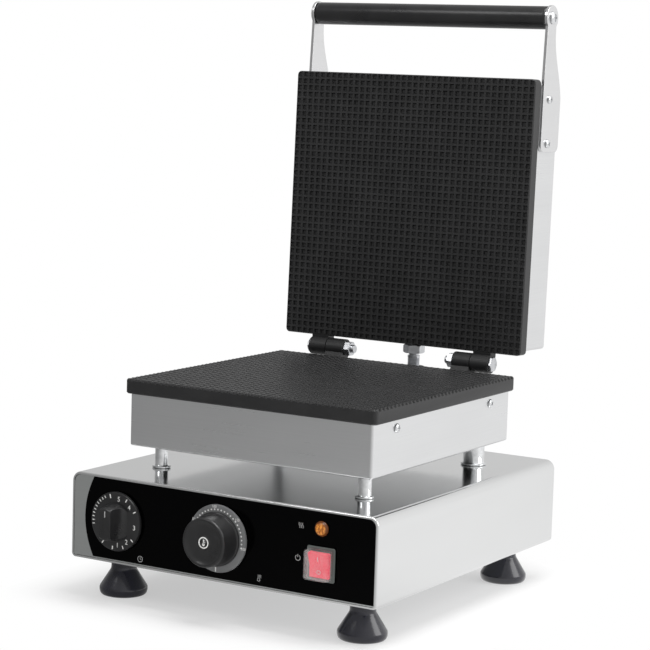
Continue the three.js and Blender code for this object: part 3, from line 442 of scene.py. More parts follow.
# %% Lathe work
def turned(name, profile, centre, along="Z", sides=72, turn=None):
    """A lathe piece: (radius, distance) pairs in millimetres along an axis through a point. Along
    is Z for up, X for right and -Y for forward. A profile that ends off the axis is a ring."""
    rings = []
    for radius, distance in profile:
        ring = []
        for side in range(sides):
            angle = 2 * math.pi * side / sides
            u, v = radius * mm * math.cos(angle), radius * mm * math.sin(angle)
            place = {"Z": (u, v, distance * mm), "X": (distance * mm, u, v),
                     "-Y": (u, -distance * mm, v)}[along]
            ring.append(Vector(centre) + Vector(place))
        rings.append(ring)
    ends = profile[0][0] > 0 and profile[-1][0] > 0
    made = loft(name, rings, hollow=ends, turn=turn)
    drop_flat_caps(made)
    return made


def drop_flat_caps(made):
    """Removes faces without area, which a profile that starts on the axis leaves."""
    work = bmesh.new()
    work.from_mesh(made.data)
    bmesh.ops.dissolve_degenerate(work, dist=1e-8, edges=work.edges)
    bmesh.ops.recalc_face_normals(work, faces=work.faces)
    work.to_mesh(made.data)
    work.free()


print("lathe ready")

# %% Cutting and rounding
def settle(made):
    """Applies an object's modifiers."""
    graph = bpy.context.evaluated_depsgraph_get()
    made.data = bpy.data.meshes.new_from_object(made.evaluated_get(graph))
    made.modifiers.clear()
    return made


def carve(made, tool, operation="DIFFERENCE"):
    """Cuts, joins or keeps the common part, and removes the tool."""
    modifier = made.modifiers.new("carve", "BOOLEAN")
    modifier.operation = operation
    modifier.solver = "MANIFOLD"
    modifier.object = tool
    settle(made)
    bpy.data.objects.remove(tool)
    return made


def soften(made, width, segments=2, sharper_than=30):
    """Rounds the edges that turn by more than an angle."""
    modifier = made.modifiers.new("soften", "BEVEL")
    modifier.width = width * mm
    modifier.segments = segments
    modifier.limit_method = "ANGLE"
    modifier.angle_limit = math.radians(sharper_than)
    modifier.use_clamp_overlap = True
    return settle(made)


def traced(node, name, turn=None):
    """A copy of a frame part, with its facets merged into whole faces, ready to be softened."""
    work = bmesh.new()
    work.from_mesh(frame["nodes"][node].data)
    bmesh.ops.remove_doubles(work, verts=work.verts, dist=1e-6)
    bmesh.ops.dissolve_limit(work, angle_limit=math.radians(0.4), verts=work.verts,
                             edges=work.edges)
    work.verts.index_update()
    points = [vertex.co.copy() for vertex in work.verts]
    faces = [[vertex.index for vertex in face.verts] for face in work.faces]
    work.free()
    return new_object(name, points, faces, turn)


print("cutting tools ready")

# %% Dressing a piece
pieces_made = []


def keep_faces_flat(made):
    """Makes wide flat faces shade flat right up to a round edge, so that they mirror truly."""
    modifier = made.modifiers.new("flat_faces", "WEIGHTED_NORMAL")
    modifier.keep_sharp = True
    modifier.weight = 100
    settle(made)


def finish_piece(made, material, body, hides=(), smooth=32, sheet=False):
    """Gives a piece its material, its smooth shading and its body, and hides what it stands for."""
    mesh = made.data
    mesh.materials.clear()
    mesh.materials.append(material)
    for face in mesh.polygons:
        face.use_smooth = True
        face.material_index = 0
    mesh.set_sharp_from_angle(angle=math.radians(smooth))
    if sheet:
        keep_faces_flat(made)
    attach(made, body)
    if hides:
        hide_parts(*hides)
    pieces_made.append(made.name)
    return made


def finish_node(node, material):
    """Gives a frame part that stays a new material."""
    data = frame["nodes"][node].data
    data.materials.clear()
    data.materials.append(material)


print("pieces so far", len(pieces_made))

# %% [markdown]
# ## Sheet steel
#
# The housing and the two casings are folded from stainless sheet with a satin grain. The grain is
# noise stretched along the direction of the brushing: it changes how rough the sheet is from line
# to line, raises it by a few microns, and leaves faint broad bands. Upright faces are brushed level,
# and the top of the base from front to back, so the two grains are mixed by where the face points.

# %% Steel finishes
def brushed(name, tone, roughness, streak=0.06, lift=0.000004):
    finish = Finish(name, {"Metallic": 1.0})
    facing = finish.node("ShaderNodeTexCoord", output="Normal")
    upward = finish.part(facing, "Z")
    flat = finish.node("ShaderNodeMath", {"operation": "ABSOLUTE"}, {0: upward}) > 0.7
    level = finish.noise((9, 9, 1300))
    lengthways = finish.noise((1300, 9, 9))
    grain = level * (1 - flat) + lengthways * flat
    bands = finish.noise((7, 7, 30)) * (1 - flat) + finish.noise((30, 7, 7)) * flat
    smudge = finish.noise((14, 14, 14), 4)
    dark = tuple(part * (1 - streak) for part in tone)
    colour = finish.tint(finish.ramp(bands * 0.5 + grain * 0.5, (0.3, 0.0), (0.7, 1.0)), dark, tone)
    rough = (grain - 0.5) * 0.10 + (smudge - 0.5) * 0.07 + roughness
    return finish.use(colour=colour, roughness=rough, normal=finish.bump(grain, lift))


cover_steel = brushed("polished_cover_steel", (0.77, 0.775, 0.775), 0.12, streak=0.03, lift=0.000001)
casing_steel = brushed("brushed_casing_steel", (0.76, 0.765, 0.77), 0.30)
arm_steel = brushed("brushed_arm_steel", (0.76, 0.76, 0.765), 0.24)
panel_steel = brushed("brushed_panel_steel", (0.65, 0.67, 0.66), 0.34)
print("steel", cover_steel.name, casing_steel.name, arm_steel.name, panel_steel.name)

# %% [markdown]
# ## Bright metal
#
# The columns are turned and plated, the screws are bright stainless, and the hinge bolts and the
# stop bolt are zinc plated, which is greyer and a little uneven.

# %% Plated finishes
def plated(name, tone, roughness, uneven):
    finish = Finish(name, {"Metallic": 1.0})
    cloud = finish.noise((180, 180, 180), 3)
    fine = finish.noise((900, 900, 900))
    dark = tuple(part * 0.82 for part in tone)
    rough = (cloud - 0.5) * uneven + roughness
    colour = finish.tint(finish.ramp(cloud, (0.35, 0.0), (0.65, 1.0)), dark, tone)
    return finish.use(colour=colour, roughness=rough, normal=finish.bump(fine, 0.000003))


chrome = plated("turned_chrome", (0.86, 0.87, 0.88), 0.08, 0.04)
bright_screw = plated("bright_screw_steel", (0.80, 0.81, 0.82), 0.20, 0.10)
zinc = plated("zinc_plate", (0.66, 0.67, 0.69), 0.30, 0.14)
dull_sheet = plated("dull_zinc_sheet", (0.48, 0.49, 0.50), 0.42, 0.14)
print("plated", chrome.name, bright_screw.name, zinc.name, dull_sheet.name)

# %% [markdown]
# ## Plastics, lacquer and the non-stick coat
#
# The plates are cast aluminium under a charcoal non-stick coat: dull, very slightly grainy, with
# fine glints. The overlay is printed film, deep black with a sharp but very faint mirror image, so
# its gloss level is set low. The knobs and the grip are moulded with a fine spark texture, the scale
# ring is painted silver, and the feet are smoother. The bluish light that the feet catch is painted
# into their black as a blue tint: a painted reflection.

# %% Dark finishes
def moulded(name, tone, roughness, texture, speck=900, coat=0.0, bloom=0.002, gloss=0.5):
    finish = Finish(name, {"Coat Weight": coat, "Coat Roughness": 0.12, "Specular IOR Level": gloss})
    spark = finish.noise((speck, speck, speck), 3)
    cloud = finish.noise((40, 40, 40), 3)
    light = tuple(part * 1.35 + bloom for part in tone)
    colour = finish.tint(finish.ramp(cloud, (0.3, 0.0), (0.7, 1.0)), tone, light)
    rough = (cloud - 0.5) * 0.12 + (spark - 0.5) * 0.08 + roughness
    return finish.use(colour=colour, roughness=rough, normal=finish.bump(spark, texture))


non_stick = moulded("non_stick_coat", (0.012, 0.012, 0.0125), 0.46, 0.00003, 1600)
overlay_black = moulded("gloss_overlay", (0.0004, 0.0004, 0.0005), 0.10, 0.0, 300, bloom=0.0,
                        gloss=0.05)
knob_black = moulded("moulded_knob", (0.013, 0.013, 0.0135), 0.30, 0.00001, 1500)
grip_black = moulded("moulded_grip", (0.010, 0.010, 0.0105), 0.30, 0.00001, 1200)
# Painted reflection: the blue in this tone stands for the bluish light that the feet catch.
foot_black = moulded("moulded_foot", (0.0055, 0.0055, 0.013), 0.24, 0.00001, 900, coat=0.5)
ring_silver = moulded("silver_ring_paint", (0.13, 0.132, 0.134), 0.34, 0.00001, 1200, bloom=0.02)
body_black = moulded("plain_black_moulding", (0.016, 0.016, 0.017), 0.5, 0.00002, 900)
print("dark finishes ready")

# %% Prints, boot and rocker
def printed(name, tone):
    finish = Finish(name)
    wear = finish.noise((700, 700, 700), 2)
    worn = tuple(part * 0.8 for part in tone)
    return finish.use(colour=finish.tint(wear, worn, tone), roughness=wear * 0.1 + 0.4)


def glowing(name, tone, glow_tone, strength, roughness):
    """A translucent coloured plastic with a light behind it."""
    finish = Finish(name, {"Emission Strength": strength})
    cloud = finish.noise((160, 160, 160), 3)
    share = finish.ramp(cloud, (0.35, 0.0), (0.65, 1.0))
    dark = tuple(part * 0.75 for part in tone)
    return finish.use(colour=finish.tint(share, dark, tone),
                      glow=finish.tint(share, glow_tone, tone),
                      roughness=(cloud - 0.5) * 0.1 + roughness)


def clear_plastic(name, tone, cover, roughness):
    """A thin clear skin: mostly see-through, with its own faint haze and its reflections."""
    finish = Finish(name)
    haze = finish.noise((220, 220, 220), 3)
    return finish.use(colour=finish.tint(haze, tone, (1, 1, 1)), alpha=(haze - 0.5) * 0.1 + cover,
                      roughness=haze * 0.08 + roughness)


print_white = printed("white_print", (0.88, 0.88, 0.86))
print_grey = printed("grey_print", (0.46, 0.46, 0.46))
rocker_red = glowing("lit_red_rocker", (0.66, 0.008, 0.04), (1.0, 0.05, 0.11), 0.45, 0.20)
boot_clear = clear_plastic("clear_boot", (0.70, 0.76, 0.74), 0.12, 0.05)
bezel_grey = moulded("smoky_bezel", (0.075, 0.085, 0.080), 0.25, 0.00001, 900, coat=0.4)
print("prints, boot and rocker ready")

# %% [markdown]
# ## Base housing
#
# The housing is one sheet bent into a sleeve, open at the front and at the back, with a return
# flange underneath. A loft of the same rounded outline, carried from front to back outside and back
# again inside, gives the whole sleeve with its rolled lips. The underside is then cut open.

# %% Base cover
cover_wall = 2.2 * mm
cover_top_corner = 9 * mm
cover_low_corner = 4 * mm
cover_lip = 1.6 * mm
flange_width = 14 * mm


def make_cover():
    low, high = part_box("base_cover")

    def ring(inset, y):
        corner_low, corner_top = cover_low_corner - inset, cover_top_corner - inset
        corners = [corner_low, corner_low, corner_top, corner_top]
        outline = rounded(low.x + inset, high.x - inset, low.z + inset, high.z - inset, corners, 14)
        return [(x, y, z) for x, z in outline]

    lips = round_edge(cover_lip, 5)
    front = [ring(inset, low.y + depth) for inset, depth in lips]
    back = [ring(inset, high.y - depth) for inset, depth in reversed(lips)]
    inside = [ring(cover_wall, high.y), ring(cover_wall, low.y)]
    cover = loft("base_cover_sheet", front + back + inside, hollow=True)
    window_low = Vector((low.x + flange_width, low.y + flange_width, low.z - cover_wall))
    window_high = Vector((high.x - flange_width, high.y - flange_width, low.z + 2 * cover_wall))
    carve(cover, block("window", window_low, window_high))
    return finish_piece(cover, cover_steel, "base", ["base_cover"], sheet=True)


cover = make_cover()
print("cover", len(cover.data.polygons), "faces")

# %% Panels and overlay
def make_softened(node, material, body, width=0.3, segments=2, sharper_than=30):
    """A frame part copied as it is, with its sharp edges rounded."""
    made = soften(traced(node, node + "_finished"), width, segments, sharper_than)
    return finish_piece(made, material, body, [node], sheet=True)


make_softened("front_panel", panel_steel, "base", 0.2)
make_softened("rear_panel", casing_steel, "base", 0.3)
make_softened("bottom_plate", dull_sheet, "base", 0.3)
make_softened("control_overlay", overlay_black, "base", 0.08)
print("panels", pieces_made[-4:])

# %% [markdown]
# ## Feet and columns
#
# The feet are moulded cones with a round rim and a straight neck. The columns are turned: a flange
# at the foot, a plain barrel and a thin shadow line under the casing. The rear right one is wider,
# because it carries the wires.

# %% Feet
seat = 0.2 * mm
foot_radius = 22
foot_neck_radius = 11.5
foot_neck_height = 24.0


def foot_profile(top, stud_top):
    rim = [(0, 0), (18.6, 0), (20.1, 0.5), (21.1, 1.5), (21.7, 3.1), (21.95, 4.6), (foot_radius, 6.0),
           (21.9, 7.0), (21.55, 8.0)]
    bend = bezier((foot_neck_radius + 0.9, foot_neck_height - 1.4),
                  (foot_neck_radius, foot_neck_height),
                  (foot_neck_radius, foot_neck_height + 2.5), 6)
    return rim + bend + [(foot_neck_radius, top), (3, top), (3, stud_top), (0, stud_top)]


def make_foot(place):
    low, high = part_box("foot_" + place)
    centre = ((low.x + high.x) / 2, (low.y + high.y) / 2, 0)
    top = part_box("bottom_plate")[0].z / mm - seat / mm
    made = turned("foot_moulding_" + place, foot_profile(top, high.z / mm), centre, sides=96)
    return finish_piece(made, foot_black, "base", ["foot_" + place], smooth=40)


for place in ("front_left", "front_right", "rear_left", "rear_right"):
    make_foot(place)
print("feet", pieces_made[-4:])

# %% Columns
def make_column(node, radius, flange, bore=0.0, stud=3.0, stud_length=7.0):
    low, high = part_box(node)
    centre = ((low.x + high.x) / 2, (low.y + high.y) / 2, 0)
    base, top = low.z / mm, high.z / mm
    if not bore:
        base, top = base + stud_length, top - stud_length
    barrel = [(flange - 0.4, base), (flange, base + 0.4), (flange, base + 1.6),
              (flange - 0.4, base + 2.0),
              (radius + 0.5, base + 2.0), (radius, base + 2.6), (radius, top - 2.2),
              (radius - 0.5, top - 2.0), (radius - 0.5, top - 1.4), (radius, top - 1.2),
              (radius, top - 0.2), (radius - 0.2, top)]
    if bore:
        profile = [(bore, base)] + barrel + [(bore, top), (bore, base)]
    else:
        profile = [(0, base - stud_length), (stud, base - stud_length), (stud, base)] + barrel + [
            (stud, top), (stud, top + stud_length), (0, top + stud_length)]
    made = turned(node + "_turned", profile, centre, sides=72)
    return finish_piece(made, chrome, "base", [node], smooth=40)


for place in ("front_left", "front_right", "rear_left"):
    make_column("column_" + place, 6.0, 8.5)
make_column("wiring_conduit", 10.0, 12.0, bore=8.0)
print("columns", pieces_made[-4:])

# %% [markdown]
# ## Casings
#
# Each casing is a tray of thin sheet, with a small bend radius along its floor and at its corners.
# It is a loft too: from the middle of the floor, round the bend, up the wall, over the rim and down
# again inside. The lid's tray is drawn closed, with its floor on top, and then turned open.

# %% Trays
tray_wall = 1.5 * mm
tray_corner = 3 * mm
tray_bend = 1.6 * mm


def make_tray(name, node, low, high, floor_on_top, body, turn=None):
    def ring(inset, z):
        outline = rounded(low.x + inset, high.x - inset, low.y + inset, high.y - inset,
                          max(tray_corner - inset, 0.4 * mm), 8)
        return [(x, y, z) for x, y in outline]

    floor, rim, up = (high.z, low.z, -1) if floor_on_top else (low.z, high.z, 1)
    bend = round_edge(tray_bend, 6)
    rings = [ring(inset, floor + up * depth) for inset, depth in bend]
    rings += [ring(0, rim - up * 0.2 * mm), ring(0.2 * mm, rim), ring(tray_wall, rim)]
    rings.append(ring(tray_wall, floor + up * tray_wall))
    made = loft(name, rings, turn=turn)
    return finish_piece(made, casing_steel, body, [node], 28, sheet=True)


make_tray("lower_casing_tray", "lower_casing", *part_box("lower_casing"), False, "base")
make_tray("upper_casing_tray", "upper_casing", *closed_box("upper_casing"), True, "lid", to_open)
print("trays", pieces_made[-2:])

# %% [markdown]
# ## Baking plates
#
# The wafer pattern is a lattice of thin ribs round small square pockets, 40 by 40. On the base's plate
# the pockets run out through the edges, and on the lid's plate a rib closes them. It is real relief:
# a field of blunt pyramids is cut out of a copy of the casting, lugs and all. The hinge barrels are
# then made rounder.

# %% Pocket field
cells = 40
rib_width = 1.8 * mm
pocket_slope = 0.9 * mm
pocket_depth = 1.9 * mm


def pocket_field(low, high, face, outward):
    """Blunt pyramids on a square grid. outward is 1 for a face that looks up, -1 for down. On the
    lid a rib runs along every edge, and on the base the edges run through the pockets."""
    shift, count = (0, cells + 1) if outward > 0 else (0.5, cells)
    points, faces = [], []
    pitch_x, pitch_y = (high.x - low.x) / cells, (high.y - low.y) / cells
    rise = 0.4 * mm
    spread = pocket_slope * rise / pocket_depth
    for column in range(count):
        for row in range(count):
            x, y = low.x + (column + shift) * pitch_x, low.y + (row + shift) * pitch_y
            first = len(points)
            for widen, height in ((-pocket_slope, -pocket_depth), (spread, rise)):
                half_x = (pitch_x - rib_width) / 2 + widen
                half_y = (pitch_y - rib_width) / 2 + widen
                far_y = min(y + half_y, high.y + 0.15 * mm)
                z = face + outward * height
                points += [(x - half_x, y - half_y, z), (x + half_x, y - half_y, z),
                           (x + half_x, far_y, z), (x - half_x, far_y, z)]
            faces += [tuple(first + corner for corner in corners) for corners in (
                (0, 1, 2, 3), (4, 5, 6, 7), (0, 1, 5, 4), (1, 2, 6, 5), (2, 3, 7, 6), (3, 0, 4, 7))]
    return new_object("pocket_field", points, faces)


plate_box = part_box("lower_plate")
print("pitch", round((plate_box[1].x - plate_box[0].x) / cells / mm, 2), "mm")

# %% Plates
knuckle_radius = 9.0
knuckle_length = 19 * mm
knuckle_gap = 0.8 * mm
hinge_offset = 11 * mm
barrel_bore = 4.3


def add_barrels(made, inner):
    """Joins a turned barrel to each hinge knuckle of a plate, from a distance off the middle."""
    bore = barrel_bore + 0.05
    for side in (-1, 1):
        ends = [inner / mm + 0.02, (inner + knuckle_length) / mm - 0.02]
        near, far = sorted(side * end for end in ends)
        profile = [(bore, near), (knuckle_radius - 0.5, near), (knuckle_radius, near + 0.5),
                   (knuckle_radius, far - 0.5), (knuckle_radius - 0.5, far), (bore, far), (bore, near)]
        carve(made, turned("barrel", profile, (0, hinge.y, hinge.z), "X", 72), "UNION")


def make_plate(name, node, body, turned_back, outward):
    made = traced(node, name, to_closed if turned_back else None)
    low, high = closed_box(node) if turned_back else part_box(node)
    field_high = Vector((high.x, hinge.y - hinge_offset, 0))
    carve(made, pocket_field(low, field_high, plate_faces[node], outward))
    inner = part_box("hinge_nut_right")[1].x + seat
    if turned_back:
        inner += knuckle_length + knuckle_gap
    add_barrels(made, inner)
    if turned_back:
        made.data.transform(to_open)
    return finish_piece(made, non_stick, body, [node], smooth=25)


plate_thickness = 13.5 * mm
plate_gap = 4 * mm
lower_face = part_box("lower_casing")[1].z + seat + plate_thickness
plate_faces = {"lower_plate": lower_face, "upper_plate": lower_face + plate_gap}
lower_plate = make_plate("lower_plate_casting", "lower_plate", "base", False, 1)
upper_plate = make_plate("upper_plate_casting", "upper_plate", "lid", True, -1)
print("plates", len(lower_plate.data.polygons), len(upper_plate.data.polygons), "faces")

# %% [markdown]
# ## Hinge bolts, nuts and the stop
#
# A forged hexagon has its corners turned off at 30 degrees. Cutting a hexagonal prism with a turned
# blank gives just that curve on each flat. The stop bolt also shows its thread, which is a row of
# shallow rings here.

# %% Hexagons
corner_share = 0.13
corner_slope = 30


def hexagon(name, centre, radius, ends, along, turn_by=0.0, bore=0.0):
    """A hexagon between two distances along an axis, with its corners turned off. The radius is
    the one across its corners."""
    low, high = ends
    off = radius * corner_share
    rise = off * math.tan(math.radians(corner_slope))
    profile = [(0, low), (radius - off, low), (radius, low + rise),
               (radius, high - rise), (radius - off, high), (0, high)]
    blank = turned(name, profile, centre, along, 72)
    rings = []
    for distance in (low - 1, high + 1):
        ring = []
        for side in range(6):
            angle = turn_by + side * math.pi / 3
            u, v = radius * mm * math.cos(angle), radius * mm * math.sin(angle)
            step = {"Z": (u, v, distance * mm), "X": (distance * mm, u, v)}[along]
            ring.append(Vector(centre) + Vector(step))
        rings.append(ring)
    carve(blank, loft("flats", rings), "INTERSECT")
    if bore:
        hole = turned("hole", [(0, low - 2), (bore, low - 2), (bore, high + 2), (0, high + 2)],
                      centre, along, 48)
        carve(blank, hole)
    return blank


print("hexagon ready, corners turned off at", corner_slope, "degrees")

# %% Hinge bolts and nuts
hinge_head_length = 2.5 * mm
hinge_head_radius = 7.5


def make_hinge_bolt(side, name):
    low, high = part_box("hinge_bolt_" + name)
    head, tip = (high.x, low.x) if side > 0 else (low.x, high.x)
    under = head - side * hinge_head_length
    centre = (0, hinge.y, hinge.z)
    ends = sorted((under / mm, head / mm))
    made = hexagon("hinge_bolt_head_" + name, centre, hinge_head_radius, ends, "X")
    near, far = sorted((under / mm + side * 0.5, tip / mm))
    carve(made, turned("shank", [(0, near), (3.6, near), (4.0, near + 0.5), (4.0, far - 0.5),
                                 (3.6, far), (0, far)], centre, "X", 48), "UNION")
    finish_piece(made, zinc, "base", ["hinge_bolt_" + name])
    nut_low, nut_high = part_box("hinge_nut_" + name)
    ends = (nut_low.x / mm, nut_high.x / mm)
    nut = hexagon("hinge_nut_hexagon_" + name, centre, hinge_head_radius, ends, "X", bore=4.2)
    finish_piece(nut, zinc, "base", ["hinge_nut_" + name])


make_hinge_bolt(-1, "left")
make_hinge_bolt(1, "right")
print("hinge hardware", pieces_made[-4:])

# %% Stop bolt
stop_head = 8.0
stop_head_radius = 10.6
stop_neck = 2.5
thread_pitch = 0.9


def make_stop():
    low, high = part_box("stop_bolt")
    centre = ((low.x + high.x) / 2, (low.y + high.y) / 2, 0)
    top, tip = high.z / mm, low.z / mm
    head_low = top - stop_head
    made = hexagon("stop_bolt_head", centre, stop_head_radius, (head_low, top), "Z", math.pi / 2)
    shank_top = head_low - stop_neck
    profile = [(0, tip), (5.2, tip), (6.0, tip + 0.8)]
    height = tip + 0.8
    while height < shank_top - 2.6:
        profile += [(5.45, height + thread_pitch / 2), (6.0, height + thread_pitch)]
        height += thread_pitch
    profile += [(6.0, shank_top), (4.8, shank_top), (4.8, head_low + 0.5), (0, head_low + 0.5)]
    carve(made, turned("thread", profile, centre, "Z", 64), "UNION")
    finish_piece(made, zinc, "base", ["stop_bolt"])
    nut_low, nut_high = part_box("stop_locknut")
    ends = (nut_low.z / mm, nut_high.z / mm)
    nut = hexagon("stop_locknut_hexagon", centre, stop_head_radius, ends, "Z", math.pi / 2, bore=6.2)
    finish_piece(nut, zinc, "base", ["stop_locknut"])


make_stop()
print("stop", pieces_made[-2:])

# %% [markdown]
# ## Screws
#
# The casings and the arms are held by pan-head screws. The head is a low dome with a cross recess.
# The cross is cut by two short bars, turned a little from screw to screw, as no two are driven to
# the same angle.

# %% Pan-head screws
def make_screw(node, name, head_radius, head_height, shank_radius, along, sign, body, lean,
               box=None, turn=None):
    low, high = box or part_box(node)
    middle = (low + high) / 2
    axis = {"X": 0, "-Y": 1}[along]
    outer = high[axis] if sign > 0 else low[axis]
    inner = low[axis] if sign > 0 else high[axis]
    length = abs(outer - inner) / mm
    dome = []
    for step in range(7):
        angle = step / 6 * math.pi / 2
        dome.append((head_radius * math.cos(angle) if step < 6 else 0,
                     length - head_height * 0.62 * (1 - math.sin(angle))))
    profile = [(0, 0), (shank_radius, 0), (shank_radius, length - head_height),
               (head_radius - 0.15, length - head_height), (head_radius, length - head_height + 0.15)]
    made = turned(name, profile + dome, (0, 0, 0), "Z", 48)
    slot_long, slot_wide, slot_deep = head_radius * 0.62, head_radius * 0.13, head_height * 0.55
    for angle in (lean, lean + math.pi / 2):
        bar = block("slot", (-slot_long * mm, -slot_wide * mm, (length - slot_deep) * mm),
                    (slot_long * mm, slot_wide * mm, (length + 1) * mm),
                    Matrix.Rotation(angle, 4, "Z"))
        carve(made, bar)
    direction = Vector((sign, 0, 0)) if along == "X" else Vector((0, sign, 0))
    start = middle.copy()
    start[axis] = inner
    place = Matrix.Translation(start) @ direction.to_track_quat("Z", "Y").to_matrix().to_4x4()
    made.data.transform(place if turn is None else turn @ place)
    return finish_piece(made, bright_screw, body, [node], smooth=35)


lean = 0.3
for side, sign in (("left", -1), ("right", 1)):
    for row in ("front", "rear"):
        make_screw(f"casing_screw_{row}_{side}", f"casing_pan_screw_{row}_{side}", 4, 2.4, 2, "X",
                   sign, "base", lean)
        lean += 0.7
    for row in ("upper", "lower"):
        make_screw(f"arm_screw_{row}_{side}", f"arm_pan_screw_{row}_{side}", 4, 2.4, 2, "X",
                   sign, "lid", lean)
        lean += 0.7
    node = "upper_casing_screw_" + side
    make_screw(node, "upper_casing_pan_screw_" + side, 4, 2.4, 2, "-Y", -1, "lid", lean,
               closed_box(node), to_open)
    make_screw("handle_end_screw_" + side, "grip_end_pan_screw_" + side, 6, 3, 2.5, "X",
               sign, "lid", lean + 0.4)
print("screws", len([name for name in pieces_made if "pan_screw" in name]))

# %% [markdown]
# ## Handle
#
# Two flat arms, laser cut and deburred, carry a moulded grip on a steel rod. The grip is turned, with
# a rounded shoulder at each end, which gathers a highlight.

# %% Grip, rod and arms
grip_bore = 4.3
grip_shoulder = 2.2


def make_grip():
    low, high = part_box("handle_grip")
    centre = (0, (low.y + high.y) / 2, (low.z + high.z) / 2)
    radius, end = (high.z - low.z) / 2 / mm, high.x / mm
    shoulder = []
    for step in range(6):
        angle = step / 5 * math.pi / 2
        shoulder.append((radius - grip_shoulder * (1 - math.cos(angle)),
                         end - grip_shoulder * (1 - math.sin(angle))))
    left = [(r, -x) for r, x in reversed(shoulder)]
    profile = [(grip_bore, -end)] + left + shoulder + [(grip_bore, end), (grip_bore, -end)]
    made = turned("grip_moulding", profile, centre, "X", 96)
    finish_piece(made, grip_black, "lid", ["handle_grip"], smooth=40)


make_grip()
make_softened("handle_rod", dull_sheet, "lid", 0.2)
for side in ("left", "right"):
    make_softened("handle_arm_" + side, arm_steel, "lid", 0.45, 3)
print("handle", pieces_made[-4:])

# %% [markdown]
# ## Printed marks
#
# Scales and symbols are pad printed: ink a few hundredths of a millimetre thick. They are made as
# thin flat shapes that lie on the face, so that they stay sharp at any size and turn with a knob.
# Places on a dial are given as on a clock, in degrees clockwise from the top.

# %% Ink shapes
ink_height = 0.06 * mm
ink_sunk = 0.02 * mm


def flat_shape(work, outline, face_y):
    """Adds a thin prism to a mesh from a closed outline in X and Z."""
    rings = []
    for y in (face_y - ink_height, face_y + ink_sunk):
        rings.append([work.verts.new((x, y, z)) for x, z in outline])
    count = len(outline)
    work.faces.new(rings[0])
    work.faces.new(rings[1])
    for index in range(count):
        after = (index + 1) % count
        work.faces.new((rings[0][index], rings[0][after], rings[1][after], rings[1][index]))


def on_dial(centre, radius, degrees):
    angle = math.radians(degrees)
    return centre[0] + radius * mm * math.sin(angle), centre[1] + radius * mm * math.cos(angle)


def tick(work, centre, face_y, degrees, inner, outer, width):
    angle = math.radians(degrees)
    side_x, side_z = math.cos(angle) * width / 2 * mm, -math.sin(angle) * width / 2 * mm
    (x0, z0), (x1, z1) = on_dial(centre, inner, degrees), on_dial(centre, outer, degrees)
    flat_shape(work, [(x0 - side_x, z0 - side_z), (x0 + side_x, z0 + side_z),
                      (x1 + side_x, z1 + side_z), (x1 - side_x, z1 - side_z)], face_y)


def dot(work, middle, face_y, radius, sides=14):
    outline = []
    for side in range(sides):
        angle = 2 * math.pi * side / sides
        outline.append((middle[0] + radius * mm * math.cos(angle),
                        middle[1] + radius * mm * math.sin(angle)))
    flat_shape(work, outline, face_y)


def line(work, points, width, face_y):
    """A drawn line of even width through points in X and Z."""
    left, right = [], []
    for index, point in enumerate(points):
        before, after = points[max(index - 1, 0)], points[min(index + 1, len(points) - 1)]
        run = Vector((after[0] - before[0], after[1] - before[1])).normalized() * width / 2 * mm
        left.append((point[0] - run.y, point[1] + run.x))
        right.append((point[0] + run.y, point[1] - run.x))
    flat_shape(work, left + right[::-1], face_y)


def arc(middle, radius, start, end, steps=20):
    return [on_dial(middle, radius, start + (end - start) * step / steps) for step in range(steps + 1)]


print("ink", round(ink_height / mm, 2), "mm thick")

# %% Numerals and ink pieces
def numeral(work, text, middle, size, face_y):
    """Adds a number, drawn with the built-in typeface, centred on a place."""
    curve = bpy.data.curves.new("numeral", "FONT")
    curve.body = text
    curve.size = size * mm
    curve.align_x, curve.align_y = "CENTER", "CENTER"
    curve.extrude = ink_height / 2
    curve.resolution_u = 4
    drawn = add_object("numeral", curve)
    graph = bpy.context.evaluated_depsgraph_get()
    mesh = bpy.data.meshes.new_from_object(drawn.evaluated_get(graph))
    mesh.transform(Matrix.Translation((middle[0], face_y - ink_height / 2, middle[1]))
                   @ Matrix.Rotation(math.pi / 2, 4, "X"))
    work.from_mesh(mesh)
    bpy.data.objects.remove(drawn)
    bpy.data.meshes.remove(mesh)


def ink_piece(name, draw, material, body, turn=None):
    """Runs a drawing function on an empty mesh and makes a piece of what it drew."""
    work = bmesh.new()
    draw(work)
    bmesh.ops.remove_doubles(work, verts=work.verts, dist=1e-7)
    bmesh.ops.recalc_face_normals(work, faces=work.faces)
    if turn is not None:
        work.transform(turn)
    mesh = bpy.data.meshes.new(name)
    work.to_mesh(mesh)
    work.free()
    return finish_piece(add_object(name, mesh), material, body)


print("ink ready")

# %% [markdown]
# ## Timer knob
#
# A round dial with a finger bar across it. The bar is what is left of a turned hub when both of its
# sides are scooped away, so it is made that way: a turned blank, cut to a flared outline.

# %% Timer knob
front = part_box("base_cover")[0].y
timer_low, timer_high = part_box("timer_knob")
timer_centre = ((timer_low.x + timer_high.x) / 2, (timer_low.z + timer_high.z) / 2)
timer_dial_radius = 27.0
timer_dial_back = 1.0
timer_dial_front = 4.5
timer_reach = (front - timer_low.y) / mm
bar_half = 6.2
hub_radius = 17.0


